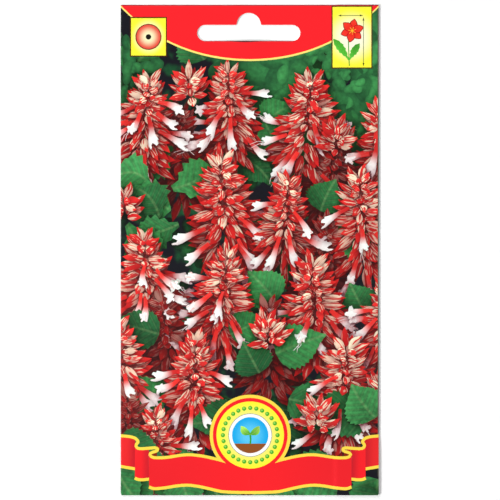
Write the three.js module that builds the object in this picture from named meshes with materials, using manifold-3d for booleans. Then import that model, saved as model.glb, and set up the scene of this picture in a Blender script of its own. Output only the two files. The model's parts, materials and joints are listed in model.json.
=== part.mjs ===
// A paper seed packet with a punched header, lying on its back: front up, header towards +Y.
// It is one printed sheet folded into a flat tube with a glued side seam. The front's lower end
// folds over the back and is glued there, and a glue band shuts the mouth below the hang slot.
// Loose seeds lie in the pocket. Millimetres, with the packet's foot on y = 0 until the last lines.
import * as THREE from 'three';
import Module from 'manifold-3d';
import { mergeVertices } from 'three/addons/utils/BufferGeometryUtils.js';

const WIDTH = 80;
const HEIGHT = 152;

// The paper, and how closely its layers lie
const PAPER = 0.12;
const LAYER_GAP = 0.10;
const PITCH = PAPER + LAYER_GAP;
const FOLD_RADIUS = PITCH / 2;
const FOLD_STEPS = 6;
const FOLD_X = WIDTH / 2 - PAPER / 2 - FOLD_RADIUS;

// The side seam: the sheet's last strip is tucked in along the right fold, under the front
const BACK_EDGE_X = 38;
const SEAM_EDGE_X = 28;
const SEAM_TOP_Y = HEIGHT - 1;
const SEAM_STEP = { from: 25.4, to: 27.6 };

// The bottom flap: the front's lower end, turned over onto the back
const FLAP = { halfWidth: 38.5, endHalfWidth: 32, length: 12.5, foldReach: 0.3 };
const FLAP_FOLD_Y = PAPER / 2 + FLAP.foldReach;
const BACK_START_Y = 0.6;
const LIFT = { from: 13, to: 20 };

// The pocket's crown over the seeds, which fades out below the glued mouth
const CROWN = { height: 2.5, halfWidth: 39.5, foot: 1, fullFrom: 28, fullTo: 46, top: 131 };

// The hang slot, and the front's lower lip, which a peg has lifted a little
const SLOT = { x: -0.3, wide: 32, high: 5, y: 140.8, humpRadius: 3.75, humpTop: 149.65, fillet: 0.6 };
const LIP = { rise: 0.7, spread: 8, from: 136 };

// Glue strips fill the gap between two layers, short of each by a little
const GLUE = 0.06;
const SIDE_GLUE = { x: [29, 37], y: [21, 150] };
const HEADER_GLUE = { x: [-37.5, 37.5], y: [131.4, 135.4] };
const FLAP_GLUE = { x: [-33, 33], y: [3, 11] };

// The seeds, small pointed nutlets
const SEED = { count: 16, long: 3.0, wide: 2.1, high: 1.6, taper: 0.28, clear: 0.03 };
const SEED_PATCH = { x: [-19, 19], y: [21, 57], apart: 4.2 };

const wasm = await Module();
wasm.setup();

const blend = (value, from, to) => {
  const s = THREE.MathUtils.clamp((value - from) / (to - from), 0, 1);
  return s * s * (3 - 2 * s);
};

// Heights of the paper's middle, layer by layer
const backZ = (y) => PAPER / 2 + PITCH * (1 - blend(y, LIFT.from, LIFT.to));
const crown = (x, y) => {
  const across = Math.max(0, 1 - (x / CROWN.halfWidth) ** 2);
  const along = blend(y, CROWN.foot, CROWN.fullFrom) * (1 - blend(y, CROWN.fullTo, CROWN.top));
  return CROWN.height * across * along;
};
const lip = (x, y) => {
  const up = blend(y, LIP.from, SLOT.y) * (1 - blend(y, SLOT.y, SLOT.y + SLOT.high));
  return LIP.rise * up * Math.exp(-(((x - SLOT.x) / LIP.spread) ** 2));
};
const seamRise = (x) => PITCH * blend(x, SEAM_STEP.from, SEAM_STEP.to);
const frontZ = (x, y) => backZ(y) + PITCH + seamRise(x) + crown(x, y) + lip(x, y);

// The upward normal of a height function, from its slopes
const upNormal = (height, x, y) => {
  const d = 0.05;
  const dx = (height(x + d, y) - height(x - d, y)) / (2 * d);
  const dy = (height(x, y + d) - height(x, y - d)) / (2 * d);
  return new THREE.Vector3(-dx, -dy, 1).normalize();
};

// A closed solid of even thickness about a grid of {point, normal} nodes. hasCell says which
// cells of the grid are paper, and a wall closes the sheet wherever a cell has no neighbour.
function sheetSolid(grid, thickness, hasCell) {
  const columns = grid.length;
  const rows = grid[0].length;
  const positions = [];
  for (const side of [0.5, -0.5]) {
    for (const column of grid) {
      for (const { point, normal } of column) {
        positions.push(...point.clone().addScaledVector(normal, side * thickness));
      }
    }
  }
  const outer = (i, j) => i * rows + j;
  const inner = (i, j) => columns * rows + i * rows + j;
  const cell = (i, j) => i >= 0 && j >= 0 && i < columns - 1 && j < rows - 1 && hasCell(i, j);
  const index = [];
  for (let i = 0; i < columns - 1; i++) {
    for (let j = 0; j < rows - 1; j++) {
      if (!cell(i, j)) continue;
      const corners = [[i, j], [i + 1, j], [i + 1, j + 1], [i, j + 1]];
      const neighbours = [cell(i, j - 1), cell(i + 1, j), cell(i, j + 1), cell(i - 1, j)];
      const [a, b, c, d] = corners.map((at) => outer(...at));
      const [e, f, g, h] = corners.map((at) => inner(...at));
      index.push(a, b, c, a, c, d, e, g, f, e, h, g);
      neighbours.forEach((present, k) => {
        if (present) return;
        const from = corners[k];
        const to = corners[(k + 1) % 4];
        index.push(outer(...to), outer(...from), inner(...from));
        index.push(outer(...to), inner(...from), inner(...to));
      });
    }
  }
  const geometry = new THREE.BufferGeometry();
  geometry.setAttribute('position', new THREE.Float32BufferAttribute(positions, 3));
  geometry.setIndex(index);
  return mergeUsed(geometry);
}

// Drops unused vertices and joins equal ones
function mergeUsed(geometry) {
  const loose = geometry.index ? geometry.toNonIndexed() : geometry.clone();
  loose.deleteAttribute('normal');
  loose.deleteAttribute('uv');
  return mergeVertices(loose, 1e-4);
}

function toManifold(geometry) {
  const merged = mergeUsed(geometry);
  const mesh = new wasm.Mesh({
    numProp: 3,
    vertProperties: new Float32Array(merged.attributes.position.array),
    triVerts: new Uint32Array(merged.index.array),
  });
  return new wasm.Manifold(mesh);
}

function toGeometry(manifold) {
  const { vertProperties, triVerts } = manifold.getMesh();
  const geometry = new THREE.BufferGeometry();
  geometry.setAttribute('position', new THREE.BufferAttribute(vertProperties, 3));
  geometry.setIndex(new THREE.BufferAttribute(triVerts, 1));
  geometry.computeVertexNormals();
  return geometry;
}

// The sheet's columns, from the back's free edge round the left fold, across the front, round
// the right fold and in along the seam strip. Each gives the node at a height y.
function sheetColumns() {
  const columns = [];
  const flat = (part, xs, height, side) => {
    for (const x of xs) {
      const at = (y) => ({
        point: new THREE.Vector3(x, y, height(x, y)),
        normal: upNormal(height, x, y).multiplyScalar(side),
      });
      columns.push({ part, x, at });
    }
  };
  const fold = (x, side, middle) => {
    for (let k = 1; k < FOLD_STEPS; k++) {
      const turn = (Math.PI * k) / FOLD_STEPS;
      const normal = new THREE.Vector3(side * Math.sin(turn), 0, side * Math.cos(turn));
      const at = (y) => ({
        point: new THREE.Vector3(x, y, middle(y)).addScaledVector(normal, FOLD_RADIUS),
        normal,
      });
      columns.push({ part: 'fold', x, at });
    }
  };
  const pocket = [0, 4, 8, 12, 16, 21, 25];
  const half = [...pocket, 30, 34.5, FLAP.halfWidth, CROWN.halfWidth, FOLD_X];
  const step = [SEAM_STEP.from, (SEAM_STEP.from + SEAM_STEP.to) / 2, SEAM_STEP.to];
  const frontXs = [...half.slice(1).map((x) => -x), ...half, ...step].sort((a, b) => a - b);
  flat('back', [BACK_EDGE_X, 20, 0, -20, -FOLD_X], (x, y) => backZ(y), -1);
  fold(-FOLD_X, -1, (y) => backZ(y) + FOLD_RADIUS);
  flat('front', frontXs, frontZ, 1);
  fold(FOLD_X, 1, (y) => backZ(y) + PITCH + FOLD_RADIUS);
  flat('seam', [FOLD_X, SEAM_EDGE_X], (x, y) => backZ(y) + PITCH, -1);
  return columns;
}

// The sheet's rows: along the bottom flap, round its fold, then up the packet
function sheetRows() {
  const rows = [FLAP.length, 6, FLAP_FOLD_Y].map((y) => ({ part: 'flap', y }));
  for (let k = FOLD_STEPS - 1; k > 0; k--) {
    rows.push({ part: 'flapFold', turn: (Math.PI * k) / FOLD_STEPS });
  }
  const foot = [FLAP_FOLD_Y, BACK_START_Y, 4, 8, LIFT.from, 15, 18, LIFT.to, 24, CROWN.fullFrom];
  const pocket = [36, CROWN.fullTo, 58, 70, 82, 94, 105, 115, 123, CROWN.top];
  const header = [LIP.from, 138, 139.5, SLOT.y, SLOT.y + SLOT.high, SEAM_TOP_Y, HEIGHT];
  for (const y of [...foot, ...pocket, ...header]) rows.push({ part: 'main', y });
  return rows;
}

// A node of the bottom flap or its fold, below the front's column at x
function flapNode(x, row) {
  const top = frontZ(x, FLAP_FOLD_Y);
  const low = PAPER / 2;
  if (row.part === 'flap') {
    const along = (row.y - FLAP_FOLD_Y) / (FLAP.length - FLAP_FOLD_Y);
    const narrow = THREE.MathUtils.lerp(1, FLAP.endHalfWidth / FLAP.halfWidth, along);
    return { point: new THREE.Vector3(x * narrow, row.y, low), normal: new THREE.Vector3(0, 0, -1) };
  }
  const reach = (top - low) / 2;
  const sin = Math.sin(row.turn);
  const cos = Math.cos(row.turn);
  return {
    point: new THREE.Vector3(x, FLAP_FOLD_Y - FLAP.foldReach * sin, low + reach * (1 + cos)),
    normal: new THREE.Vector3(0, -sin / FLAP.foldReach, cos / reach).normalize(),
  };
}

function slotPrism() {
  const shape = new THREE.Shape();
  const end = SLOT.high / 2;
  const straight = SLOT.wide / 2 - end;
  const top = SLOT.y + SLOT.high;
  const humpY = SLOT.humpTop - SLOT.humpRadius;
  const filletTurn = Math.asin((top + SLOT.fillet - humpY) / SLOT.humpRadius);
  const humpX = SLOT.humpRadius * Math.cos(filletTurn);
  shape.moveTo(-straight, SLOT.y);
  shape.lineTo(straight, SLOT.y);
  shape.absarc(straight, SLOT.y + end, end, -Math.PI / 2, Math.PI / 2);
  shape.lineTo(SLOT.humpRadius + SLOT.fillet, top);
  shape.quadraticCurveTo(SLOT.humpRadius, top, humpX, top + SLOT.fillet);
  shape.absarc(0, humpY, SLOT.humpRadius, filletTurn, Math.PI - filletTurn);
  shape.quadraticCurveTo(-SLOT.humpRadius, top, -SLOT.humpRadius - SLOT.fillet, top);
  shape.lineTo(-straight, top);
  shape.absarc(-straight, SLOT.y + end, end, Math.PI / 2, (3 * Math.PI) / 2);
  const depth = 10;
  const geometry = new THREE.ExtrudeGeometry(shape, { depth, bevelEnabled: false, curveSegments: 10 });
  return geometry.translate(SLOT.x, 0, -depth / 2);
}

function packetSheet() {
  const columns = sheetColumns();
  const rows = sheetRows();
  const grid = columns.map((column) =>
    rows.map((row) => (row.part === 'main' ? column.at(row.y) : flapNode(column.x, row))),
  );
  const isMain = (row) => row.part === 'main' && row.y >= BACK_START_Y;
  const onFlap = (column) => column.part === 'front' && Math.abs(column.x) <= FLAP.halfWidth;
  const hasCell = (i, j) => {
    if (columns[i].part === 'seam' && rows[j].y >= SEAM_TOP_Y) return false;
    return isMain(rows[j]) || (onFlap(columns[i]) && onFlap(columns[i + 1]));
  };
  const sheet = toManifold(sheetSolid(grid, PAPER, hasCell));
  const flatness = 0.0005;
  return toGeometry(sheet.subtract(toManifold(slotPrism())).asOriginal().simplify(flatness));
}

// A strip of glue between two layers, as wide as its box and at a middle height of its own
function glueStrip({ x, y }, columns, middle) {
  const xs = [x[0], ...columns, x[1]];
  const grid = xs.map((at) =>
    y.map((to) => ({ point: new THREE.Vector3(at, to, middle(at)), normal: upNormal(middle, at, to) })),
  );
  return sheetSolid(grid, GLUE, () => true);
}

// A nutlet: a rounded body that narrows to a blunt point at one end, lying flat
function seedGeometry() {
  const geometry = new THREE.SphereGeometry(1, 8, 6);
  geometry.rotateZ(Math.PI / 2);
  const position = geometry.attributes.position;
  for (let i = 0; i < position.count; i++) {
    const along = position.getX(i);
    const width = 1 - SEED.taper * (along + 1) * 0.5;
    position.setXYZ(i, along, position.getY(i) * width, position.getZ(i));
  }
  geometry.scale(SEED.long / 2, SEED.wide / 2, SEED.high / 2);
  return geometry;
}

// A small seeded random source, so that the seeds always lie the same way
function randomSource(seed) {
  let state = seed;
  return () => {
    state = (state * 1664525 + 1013904223) % 4294967296;
    return state / 4294967296;
  };
}

function seedPlaces() {
  const random = randomSource(7);
  const places = [];
  while (places.length < SEED.count) {
    const x = THREE.MathUtils.lerp(...SEED_PATCH.x, random());
    const y = THREE.MathUtils.lerp(...SEED_PATCH.y, random() ** 1.4);
    const turn = random() * 2 * Math.PI;
    const clear = places.every((at) => Math.hypot(at.x - x, at.y - y) > SEED_PATCH.apart);
    if (clear) places.push({ x, y, turn });
  }
  return places;
}

const printedPaper = new THREE.MeshStandardMaterial({ color: 0xc8343a, roughness: 0.42, metalness: 0 });
const driedGlue = new THREE.MeshStandardMaterial({ color: 0xe4dcc4, roughness: 0.5, metalness: 0 });
const seedCoat = new THREE.MeshStandardMaterial({ color: 0x4a3322, roughness: 0.8, metalness: 0 });

const packet = new THREE.Group();

function add(name, geometry, material) {
  const mesh = new THREE.Mesh(geometry, material);
  mesh.name = name;
  packet.add(mesh);
  return mesh;
}

add('packet_sheet', packetSheet(), printedPaper);

const betweenBacks = PAPER + LAYER_GAP / 2;
add('side_seam_glue', glueStrip(SIDE_GLUE, [], () => betweenBacks), driedGlue);
const overSeam = [SEAM_STEP.from, (SEAM_STEP.from + SEAM_STEP.to) / 2, SEAM_STEP.to];
add('header_glue', glueStrip(HEADER_GLUE, overSeam, (x) => betweenBacks + seamRise(x)), driedGlue);
add('bottom_flap_glue', glueStrip(FLAP_GLUE, [], () => betweenBacks), driedGlue);

const nutlet = seedGeometry();
seedPlaces().forEach(({ x, y, turn }, i) => {
  const seed = add(`seed_${String(i + 1).padStart(2, '0')}`, nutlet, seedCoat);
  seed.position.set(x, y, PAPER + SEED.clear + SEED.high / 2);
  seed.rotation.z = turn;
});

// The origin goes to the middle of the packet's length, on the surface that it lies on
const part = new THREE.Group();
packet.position.y = -HEIGHT / 2;
part.add(packet);

export default part;
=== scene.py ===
import json

import bpy
import numpy as np
from mathutils.geometry import delaunay_2d_cdt
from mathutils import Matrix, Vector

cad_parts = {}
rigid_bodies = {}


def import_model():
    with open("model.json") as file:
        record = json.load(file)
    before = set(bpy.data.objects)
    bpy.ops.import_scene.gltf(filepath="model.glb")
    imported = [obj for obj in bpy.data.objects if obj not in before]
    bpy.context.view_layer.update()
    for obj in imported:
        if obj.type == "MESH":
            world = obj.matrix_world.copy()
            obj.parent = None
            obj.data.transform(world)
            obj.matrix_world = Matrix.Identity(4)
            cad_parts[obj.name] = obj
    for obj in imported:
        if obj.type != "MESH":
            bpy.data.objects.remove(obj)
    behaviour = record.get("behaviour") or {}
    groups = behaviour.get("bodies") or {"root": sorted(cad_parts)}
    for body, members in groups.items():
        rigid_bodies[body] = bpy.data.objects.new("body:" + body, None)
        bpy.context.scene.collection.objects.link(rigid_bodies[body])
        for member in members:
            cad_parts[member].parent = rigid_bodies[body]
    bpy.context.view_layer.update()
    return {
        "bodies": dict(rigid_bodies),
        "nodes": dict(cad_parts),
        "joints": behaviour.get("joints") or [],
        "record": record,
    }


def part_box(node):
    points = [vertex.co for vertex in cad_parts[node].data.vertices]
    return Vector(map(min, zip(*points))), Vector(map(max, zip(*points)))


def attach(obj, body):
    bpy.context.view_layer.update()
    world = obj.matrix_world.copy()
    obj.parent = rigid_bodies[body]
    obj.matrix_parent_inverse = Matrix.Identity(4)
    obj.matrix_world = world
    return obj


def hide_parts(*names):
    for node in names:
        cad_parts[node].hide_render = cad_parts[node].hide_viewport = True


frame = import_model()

# The packet sheet is one piece of satin coated paper, printed outside and bare inside. It is
# folded into a flat tube whose last strip is glued in under the front along the right fold, and
# the front's lower end is turned over onto the back. This part is the sheet's form, without ink.
MM = 0.001
low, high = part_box("packet_sheet")
WIDTH, HEIGHT = (high[0] - low[0]) / MM, (high[1] - low[1]) / MM
PAPER, LAYER_GAP = 0.12, 0.10
PITCH = PAPER + LAYER_GAP
FOLD_RADIUS = PITCH / 2
FOLD_X = WIDTH / 2 - PAPER / 2 - FOLD_RADIUS
FOLD_ARC = np.pi * FOLD_RADIUS
BACK_EDGE_X, SEAM_EDGE_X, SEAM_TOP = 38.0, 28.0, HEIGHT - 1
SEAM_STEP = (25.4, 27.6)
FLAP_HALF, FLAP_END_HALF, FLAP_LENGTH, FLAP_REACH = 39.78, 32.0, 12.5, 0.3
FLAP_FOLD_Y = PAPER / 2 + FLAP_REACH
FLAP_ARC = 0.82
FLAP_END = FLAP_FOLD_Y - FLAP_ARC - (FLAP_LENGTH - FLAP_FOLD_Y)
BACK_START = 0.4
LIFT = (13.0, 20.0)
CROWN, CROWN_HALF, CROWN_RISE, CROWN_FALL = 2.5, 39.5, (1.0, 28.0), (46.0, 131.0)
SLOT_X, SLOT_WIDE, SLOT_HIGH, SLOT_Y = -0.3, 32.0, 5.0, 140.8
HUMP_RADIUS, HUMP_TOP, HUMP_FILLET = 3.75, 149.55, 0.35
LIP_RISE, LIP_SPREAD, LIP_FROM = 0.7, 8.0, 136.0


def blend(value, start, end):
    """Smooth step: 0 before start, 1 after end, and 3s^2 - 2s^3 between them."""
    s = np.clip((value - start) / (end - start), 0, 1)
    return s * s * (3 - 2 * s)


def back_height(y):
    """Middle of the back panel's paper, which the bottom flap lifts by one layer."""
    return PAPER / 2 + PITCH * (1 - blend(y, *LIFT))


def front_height(x, y):
    """Middle of the front's paper: a layer above the back, one more over the side seam, plus the
    crown, a parabola across that swells and fades along, and the lip that a peg has lifted."""
    crown = np.clip(1 - (x / CROWN_HALF) ** 2, 0, None) * blend(y, *CROWN_RISE)
    crown = crown * (1 - blend(y, *CROWN_FALL)) * CROWN
    lip = blend(y, LIP_FROM, SLOT_Y) * (1 - blend(y, SLOT_Y, SLOT_Y + SLOT_HIGH))
    lip = lip * LIP_RISE * np.exp(-(((x - SLOT_X) / LIP_SPREAD) ** 2))
    return back_height(y) + PITCH * (1 + blend(x, *SEAM_STEP)) + crown + lip


def place(a, v):
    """Middle of the paper and its outward normal at points (a, v) of the flat blank.

    Across, the front is a = x. Past each fold line the blank goes round a half turn of the fold's
    radius, and then back in under the front: on the left as the back panel, on the right as the
    tucked strip. Along, the blank below the front's foot goes round a half ellipse to the flap."""
    side = np.sign(a)
    past = np.clip(np.abs(a) - FOLD_X, 0, None)
    turn = np.minimum(past / FOLD_RADIUS, np.pi)
    inward = np.clip(past - FOLD_ARC, 0, None)
    x = np.where(past > 0, side * (FOLD_X - inward + FOLD_RADIUS * np.sin(turn)), a)
    y = np.maximum(v, FLAP_FOLD_Y)
    step = 0.05
    slope_x = (front_height(x + step, y) - front_height(x - step, y)) / (2 * step)
    slope_y = (front_height(x, y + step) - front_height(x, y - step)) / (2 * step)
    rolled = back_height(y) + np.where(side > 0, PITCH, 0) + FOLD_RADIUS * (1 + np.cos(turn))
    z = np.where(past > 0, rolled, front_height(x, y))
    normal = np.stack([
        np.where(past > 0, side * np.sin(turn), -slope_x),
        np.where(past > 0, 0, -slope_y),
        np.where(past > 0, np.cos(turn), 1),
    ], -1)
    below = np.clip(FLAP_FOLD_Y - v, 0, None)
    bend = np.minimum(below / FLAP_ARC, 1) * np.pi
    reach = (z - PAPER / 2) / 2
    beyond = np.clip(below - FLAP_ARC, 0, None)
    y = np.where(below > 0, FLAP_FOLD_Y - FLAP_REACH * np.sin(bend) + beyond, y)
    z = np.where(below > 0, PAPER / 2 + reach * (1 + np.cos(bend)), z)
    upwards = np.cos(bend) / np.maximum(reach, 1e-6)
    under = np.stack([0 * bend, -np.sin(bend) / FLAP_REACH, upwards], -1)
    normal = np.where((below > 0)[:, None], under, normal)
    normal /= np.linalg.norm(normal, axis=1, keepdims=True)
    return np.stack([x, y - HEIGHT / 2, z], -1), normal


def arc(x, y, radius, start, end, count):
    """Points on a circular arc, its angles in degrees."""
    turn = np.radians(np.linspace(start, end, count))
    return np.stack([x + radius * np.cos(turn), y + radius * np.sin(turn)], -1)


def slot_outline():
    """The hang slot: a bar with round ends, and a half-round hump that meets it in small fillets."""
    end, top = SLOT_HIGH / 2, SLOT_Y + SLOT_HIGH
    straight = SLOT_WIDE / 2 - end
    hump_y = HUMP_TOP - HUMP_RADIUS
    fillet_x = HUMP_RADIUS + HUMP_FILLET
    right = np.concatenate([
        arc(straight, SLOT_Y + end, end, -90, 90, 17),
        arc(fillet_x, top + HUMP_FILLET, HUMP_FILLET, 270, 190, 5),
        arc(0, hump_y, HUMP_RADIUS, 10, 90, 15),
    ])
    left = right[-2::-1] * (-1, 1)
    return np.concatenate([right, left]) + (SLOT_X, 0)


def spaced(points, step):
    """A closed outline with its long sides divided into steps of about this length."""
    ends = np.roll(points, -1, axis=0)
    parts = np.maximum(np.ceil(np.linalg.norm(ends - points, axis=1) / step).astype(int), 1)
    return np.concatenate([
        p + (q - p) * (np.arange(n) / n)[:, None] for p, q, n in zip(points, ends, parts)
    ])


BACK_A = -FOLD_X - FOLD_ARC
SEAM_A = FOLD_X + FOLD_ARC
BACK_EDGE_A = BACK_A - (FOLD_X + BACK_EDGE_X)
SEAM_EDGE_A = SEAM_A + (FOLD_X - SEAM_EDGE_X)
front_slot = slot_outline()
back_slot = (front_slot * (-1, 1))[::-1] + (BACK_A - FOLD_X, 0)
blank = np.array([
    (BACK_EDGE_A, BACK_START), (-FLAP_HALF, BACK_START), (-FLAP_HALF, FLAP_FOLD_Y - FLAP_ARC),
    (-FLAP_END_HALF, FLAP_END), (FLAP_END_HALF, FLAP_END), (FLAP_HALF, FLAP_FOLD_Y - FLAP_ARC),
    (FLAP_HALF, BACK_START), (SEAM_EDGE_A, BACK_START), (SEAM_EDGE_A, SEAM_TOP),
    (SEAM_A, SEAM_TOP), (SEAM_A, HEIGHT), (BACK_EDGE_A, HEIGHT),
])

# The print is laid down on the flat blank before it is folded, so it is drawn there too: as ink
# shapes, each over the last, with an outline, a frame of its own and up to three inks. A grid of
# fine cells over the blank says which shape is on top. The edges that show are cut into the
# sheet's mesh, which keeps every edge of the print sharp.
PITCH_OF_INK, BEYOND = 0.06, 1.0
INK_CORNER = np.array([BACK_EDGE_A - BEYOND, FLAP_END - BEYOND])
INK_FAR_CORNER = np.array([SEAM_EDGE_A + BEYOND, HEIGHT + BEYOND])
INK_CELLS = np.ceil((INK_FAR_CORNER - INK_CORNER) / PITCH_OF_INK).astype(int)
LIGHT_LEVEL, SHEEN = 1.06, 0.008


def ink(red, green, blue):
    """An ink by its colour in the photograph, 0 to 255: by the sRGB curve and the scene's light it
    becomes the reflectance that is seen in that colour, less the paper's sheen."""
    c = np.array([red, green, blue]) / 255
    seen_light = np.where(c > 0.04045, ((c + 0.055) / 1.055) ** 2.4, c / 12.92)
    return np.clip((seen_light - SHEEN) / LIGHT_LEVEL, 0.0015, 1)


def look(streaks=0, veins=0, mottling=0, across=0, blur=0, radial=0):
    """How ink is laid on a shape: streaks and veins of its second ink, mottling, light across it,
    blurred clouds, and its second ink round its middle. Arrays give one row for each shape."""
    return np.stack(np.broadcast_arrays(streaks, veins, mottling, across, blur, radial), -1) * 1.0


def laid(unit, frames):
    """Outlines on the blank of a unit shape (u along, w across) in each frame: the origin, plus u
    times the length along the direction, plus w times the half width across it, plus a bow."""
    ox, oy, dx, dy, length, half, bow = frames.T[:, :, None]
    u, w = unit[..., 0], unit[..., 1]
    along, across = u * length, w * half + bow * 4 * u * (1 - u)
    return np.stack([ox + dx * along - dy * across, oy + dy * along + dx * across], -1)


def place_in(frames, points):
    """Where points lie in their frames, as u along and w across: laid's formula turned round."""
    ox, oy, dx, dy, length, half, bow = frames.T
    x, y = points[:, 0] - ox, points[:, 1] - oy
    u = (x * dx + y * dy) / length
    return u, (y * dx - x * dy - bow * 4 * u * (1 - u)) / half


PLAIN, RADIAL = look(), look(radial=1)
WHOLE_SHEET = (0, 0, 0, 1, 100, 100, 0)


class Print:
    """Ink shapes in the order in which they are laid down."""

    def __init__(self):
        self.outlines, self.frames, self.inks, self.looks, self.near = [], [], [], [], []

    def add(self, outlines, frames, inks, looks, near):
        """n shapes: outlines, frames (n, 7), inks (n, 9) for foot, tip and second ink, looks (n, 6)
        and how near the eye they are."""
        n = len(frames)
        self.outlines += list(outlines)
        self.frames.append(frames)
        self.inks.append(np.broadcast_to(inks, (n, 9)))
        self.looks.append(np.broadcast_to(looks, (n, 6)))
        self.near.append(np.broadcast_to(near, n))

    def flat(self, outline, foot, tip=None, second=None, looks=PLAIN, frame=WHOLE_SHEET):
        """One shape of even ink, or of ink that changes along its frame."""
        tip, second = (foot if extra is None else extra for extra in (tip, second))
        inks = np.concatenate([foot, tip, second])[None]
        self.add([np.asarray(outline, float)], np.array([frame], float), inks, [looks], [0.0])

    def rows(self):
        """All shapes as whole arrays."""
        return [np.concatenate(x) for x in (self.frames, self.inks, self.looks, self.near)]


def fill(ids, outline, value):
    """Writes value into the grid's cells inside an outline: each of its sides flips the cells to
    its right in the rows that it crosses, so that cells inside are flipped an odd number of times."""
    p = (outline - INK_CORNER) / PITCH_OF_INK - 0.5
    first = np.clip(np.floor(p.min(0)).astype(int), 0, INK_CELLS)
    last = np.clip(np.ceil(p.max(0)).astype(int) + 1, 0, INK_CELLS)
    across, up = last - first
    if across <= 0 or up <= 0:
        return
    q = np.roll(p, -1, axis=0)
    rows = np.arange(first[1], last[1])
    side, row = np.nonzero((p[:, 1:] <= rows) != (q[:, 1:] <= rows))
    share = (rows[row] - p[side, 1]) / (q[side, 1] - p[side, 1])
    column = np.ceil(p[side, 0] + share * (q[side, 0] - p[side, 0])).astype(int) - first[0]
    flips = np.zeros((up, across + 1), np.int16)
    np.add.at(flips, (row, np.clip(column, 0, across)), 1)
    inside = np.cumsum(flips[:, :-1], axis=1) % 2 == 1
    ids[first[1]:last[1], first[0]:last[0]][inside] = value


def cells_at(points):
    """The grid's row and column that hold each point of the blank."""
    cell = ((points - INK_CORNER) / PITCH_OF_INK).astype(int)
    cell = np.clip(cell, 0, INK_CELLS - 1)
    return cell[..., 1], cell[..., 0]


# The picture on the front is a bed of salvia in flower: dense cones of red and cream bracts, with
# white lipped tubes, over toothed leaves. The planting is laid out in space, x to the right, y
# towards the eye and z up, looked down on at a slant, and drawn from the furthest piece forwards.
TILT = np.radians(44)
ROUND = 6.28
picture = Print()
draw = np.random.default_rng(11)

RED, DEEP_RED, BRIGHT_RED = ink(226, 40, 42), ink(140, 26, 34), ink(250, 58, 52)
CREAM, ROSE, PALE = ink(255, 236, 204), ink(238, 132, 124), ink(255, 252, 248)
GREEN, DEEP_GREEN, LIGHT_GREEN = ink(66, 144, 80), ink(34, 84, 52), ink(150, 190, 124)
SHADE = ink(30, 30, 36)
FAR_LAYER = -99
AMONG_PETALS, AMONG_LEAVES = np.array([0.72, 1.2, 1.12]), np.array([1.1, 0.85, 1.1])


def bounced(light, colours):
    """Light on petals or leaves, which falls off least in their own colour, because their like
    round them throw it back: the light to the power of AMONG_PETALS or AMONG_LEAVES."""
    redder = colours[:, :1] > colours[:, 1:2]
    power = np.where(redder, AMONG_PETALS, AMONG_LEAVES)
    return np.reshape(light, (-1, 1)) ** power


def seen(points):
    """Where points of the planting lie in the picture, and how near the eye they are."""
    x, y, z = np.moveaxis(np.asarray(points, float), -1, 0)
    up, near = z * np.cos(TILT) - y * np.sin(TILT), y * np.cos(TILT) + z * np.sin(TILT)
    return np.stack([x, up], -1), near


def seen_frames(foot, reach, half, bow, least=1.5):
    """Frames of pieces that run from foot by reach in space, at least so many half widths long."""
    start, near = seen(foot)
    end, far = seen(foot + reach)
    span = end - start
    length = np.linalg.norm(span, axis=1)
    span /= length[:, None]
    length = np.maximum(length, least * half)
    return np.column_stack([start, span, length, half, bow]), (near + far) / 2


def mirrored(half_outline):
    """A unit outline from its left half, foot to tip."""
    half = np.array(half_outline, float)
    return np.concatenate([half, half[::-1] * (1, -1)])


BRACT = mirrored([(0, 0.34), (0.14, 0.7), (0.32, 0.98), (0.48, 1.0), (0.66, 0.8), (0.84, 0.4), (1, 0.03)])
TUBE = np.array([
    (0, 0.42), (0.35, 0.5), (0.63, 0.7), (0.84, 0.88), (1.0, 0.84), (1.12, 0.5), (1.16, 0.2), (1.1, 0.12),
    (1.0, 0.24), (0.94, 0.0), (0.98, -0.4), (1.05, -0.9), (0.98, -1.3), (0.88, -1.05), (0.84, -1.4),
    (0.76, -1.1), (0.63, -0.72), (0.35, -0.52), (0, -0.42),
])
SHORT_TUBE = mirrored([(0, 0.42), (0.35, 0.52), (0.63, 0.78), (0.88, 0.9)])
THREAD = mirrored([(0, 1), (0.5, 1), (1, 0.6)])
TUBE_LONG, TUBE_HALF, TUBE_DROOP = (7.6, 10.2), (1.15, 1.55), np.radians([-42, -4])
MOUTH_LONG, MOUTH_HALF, MOUTH_POINTS = 4.0, (1.6, 2.1), 20
THREAD_LONG, THREAD_HALF, THREADS_APART = (3, 5), 0.09, (-0.14, 0.1)
SEEN_SIDE_ON, WITH_THREADS, TUBE_IN_FRONT = 0.6, 0.3, 3.0


def star_outlines(count):
    """Flower mouths seen end on: four or five ragged lobes of unequal length. The radius is 0.42
    plus 0.58 times a lobed cosine, made uneven at each point and longer towards one side."""
    turn = np.arange(MOUTH_POINTS) * 2 * np.pi / MOUTH_POINTS
    lobes = draw.integers(4, 6, count)[:, None]
    lobed = 0.5 + 0.5 * np.cos(lobes * turn + draw.uniform(0, ROUND, (count, 1)))
    ragged = draw.uniform(0.82, 1.15, (count, MOUTH_POINTS))
    ragged = ragged * (1 + 0.22 * np.cos(turn + draw.uniform(0, ROUND, (count, 1))))
    radius = (0.42 + 0.58 * lobed ** 0.7) * ragged
    return np.stack([0.5 + radius * np.cos(turn) * 0.5, radius * np.sin(turn)], -1)


def point_along(frames, share):
    """The points this share of the way along frames."""
    return frames[:, :2] + frames[:, 2:4] * frames[:, 4:5] * share


def middle_part(frames, start=0.3, share=0.5):
    """Frames over this share of the length of others, from start on, which follow the same bow:
    the ink of a shape laid in the others turns from its foot's to its tip's within this part."""
    ox, oy, dx, dy, length, half, bow = frames.T
    lift = bow * 4 * start * (1 - start)
    return np.column_stack([
        ox + dx * start * length - dy * lift, oy + dy * start * length + dx * lift, dx, dy,
        length * share, half, bow * share ** 2,
    ])


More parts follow.
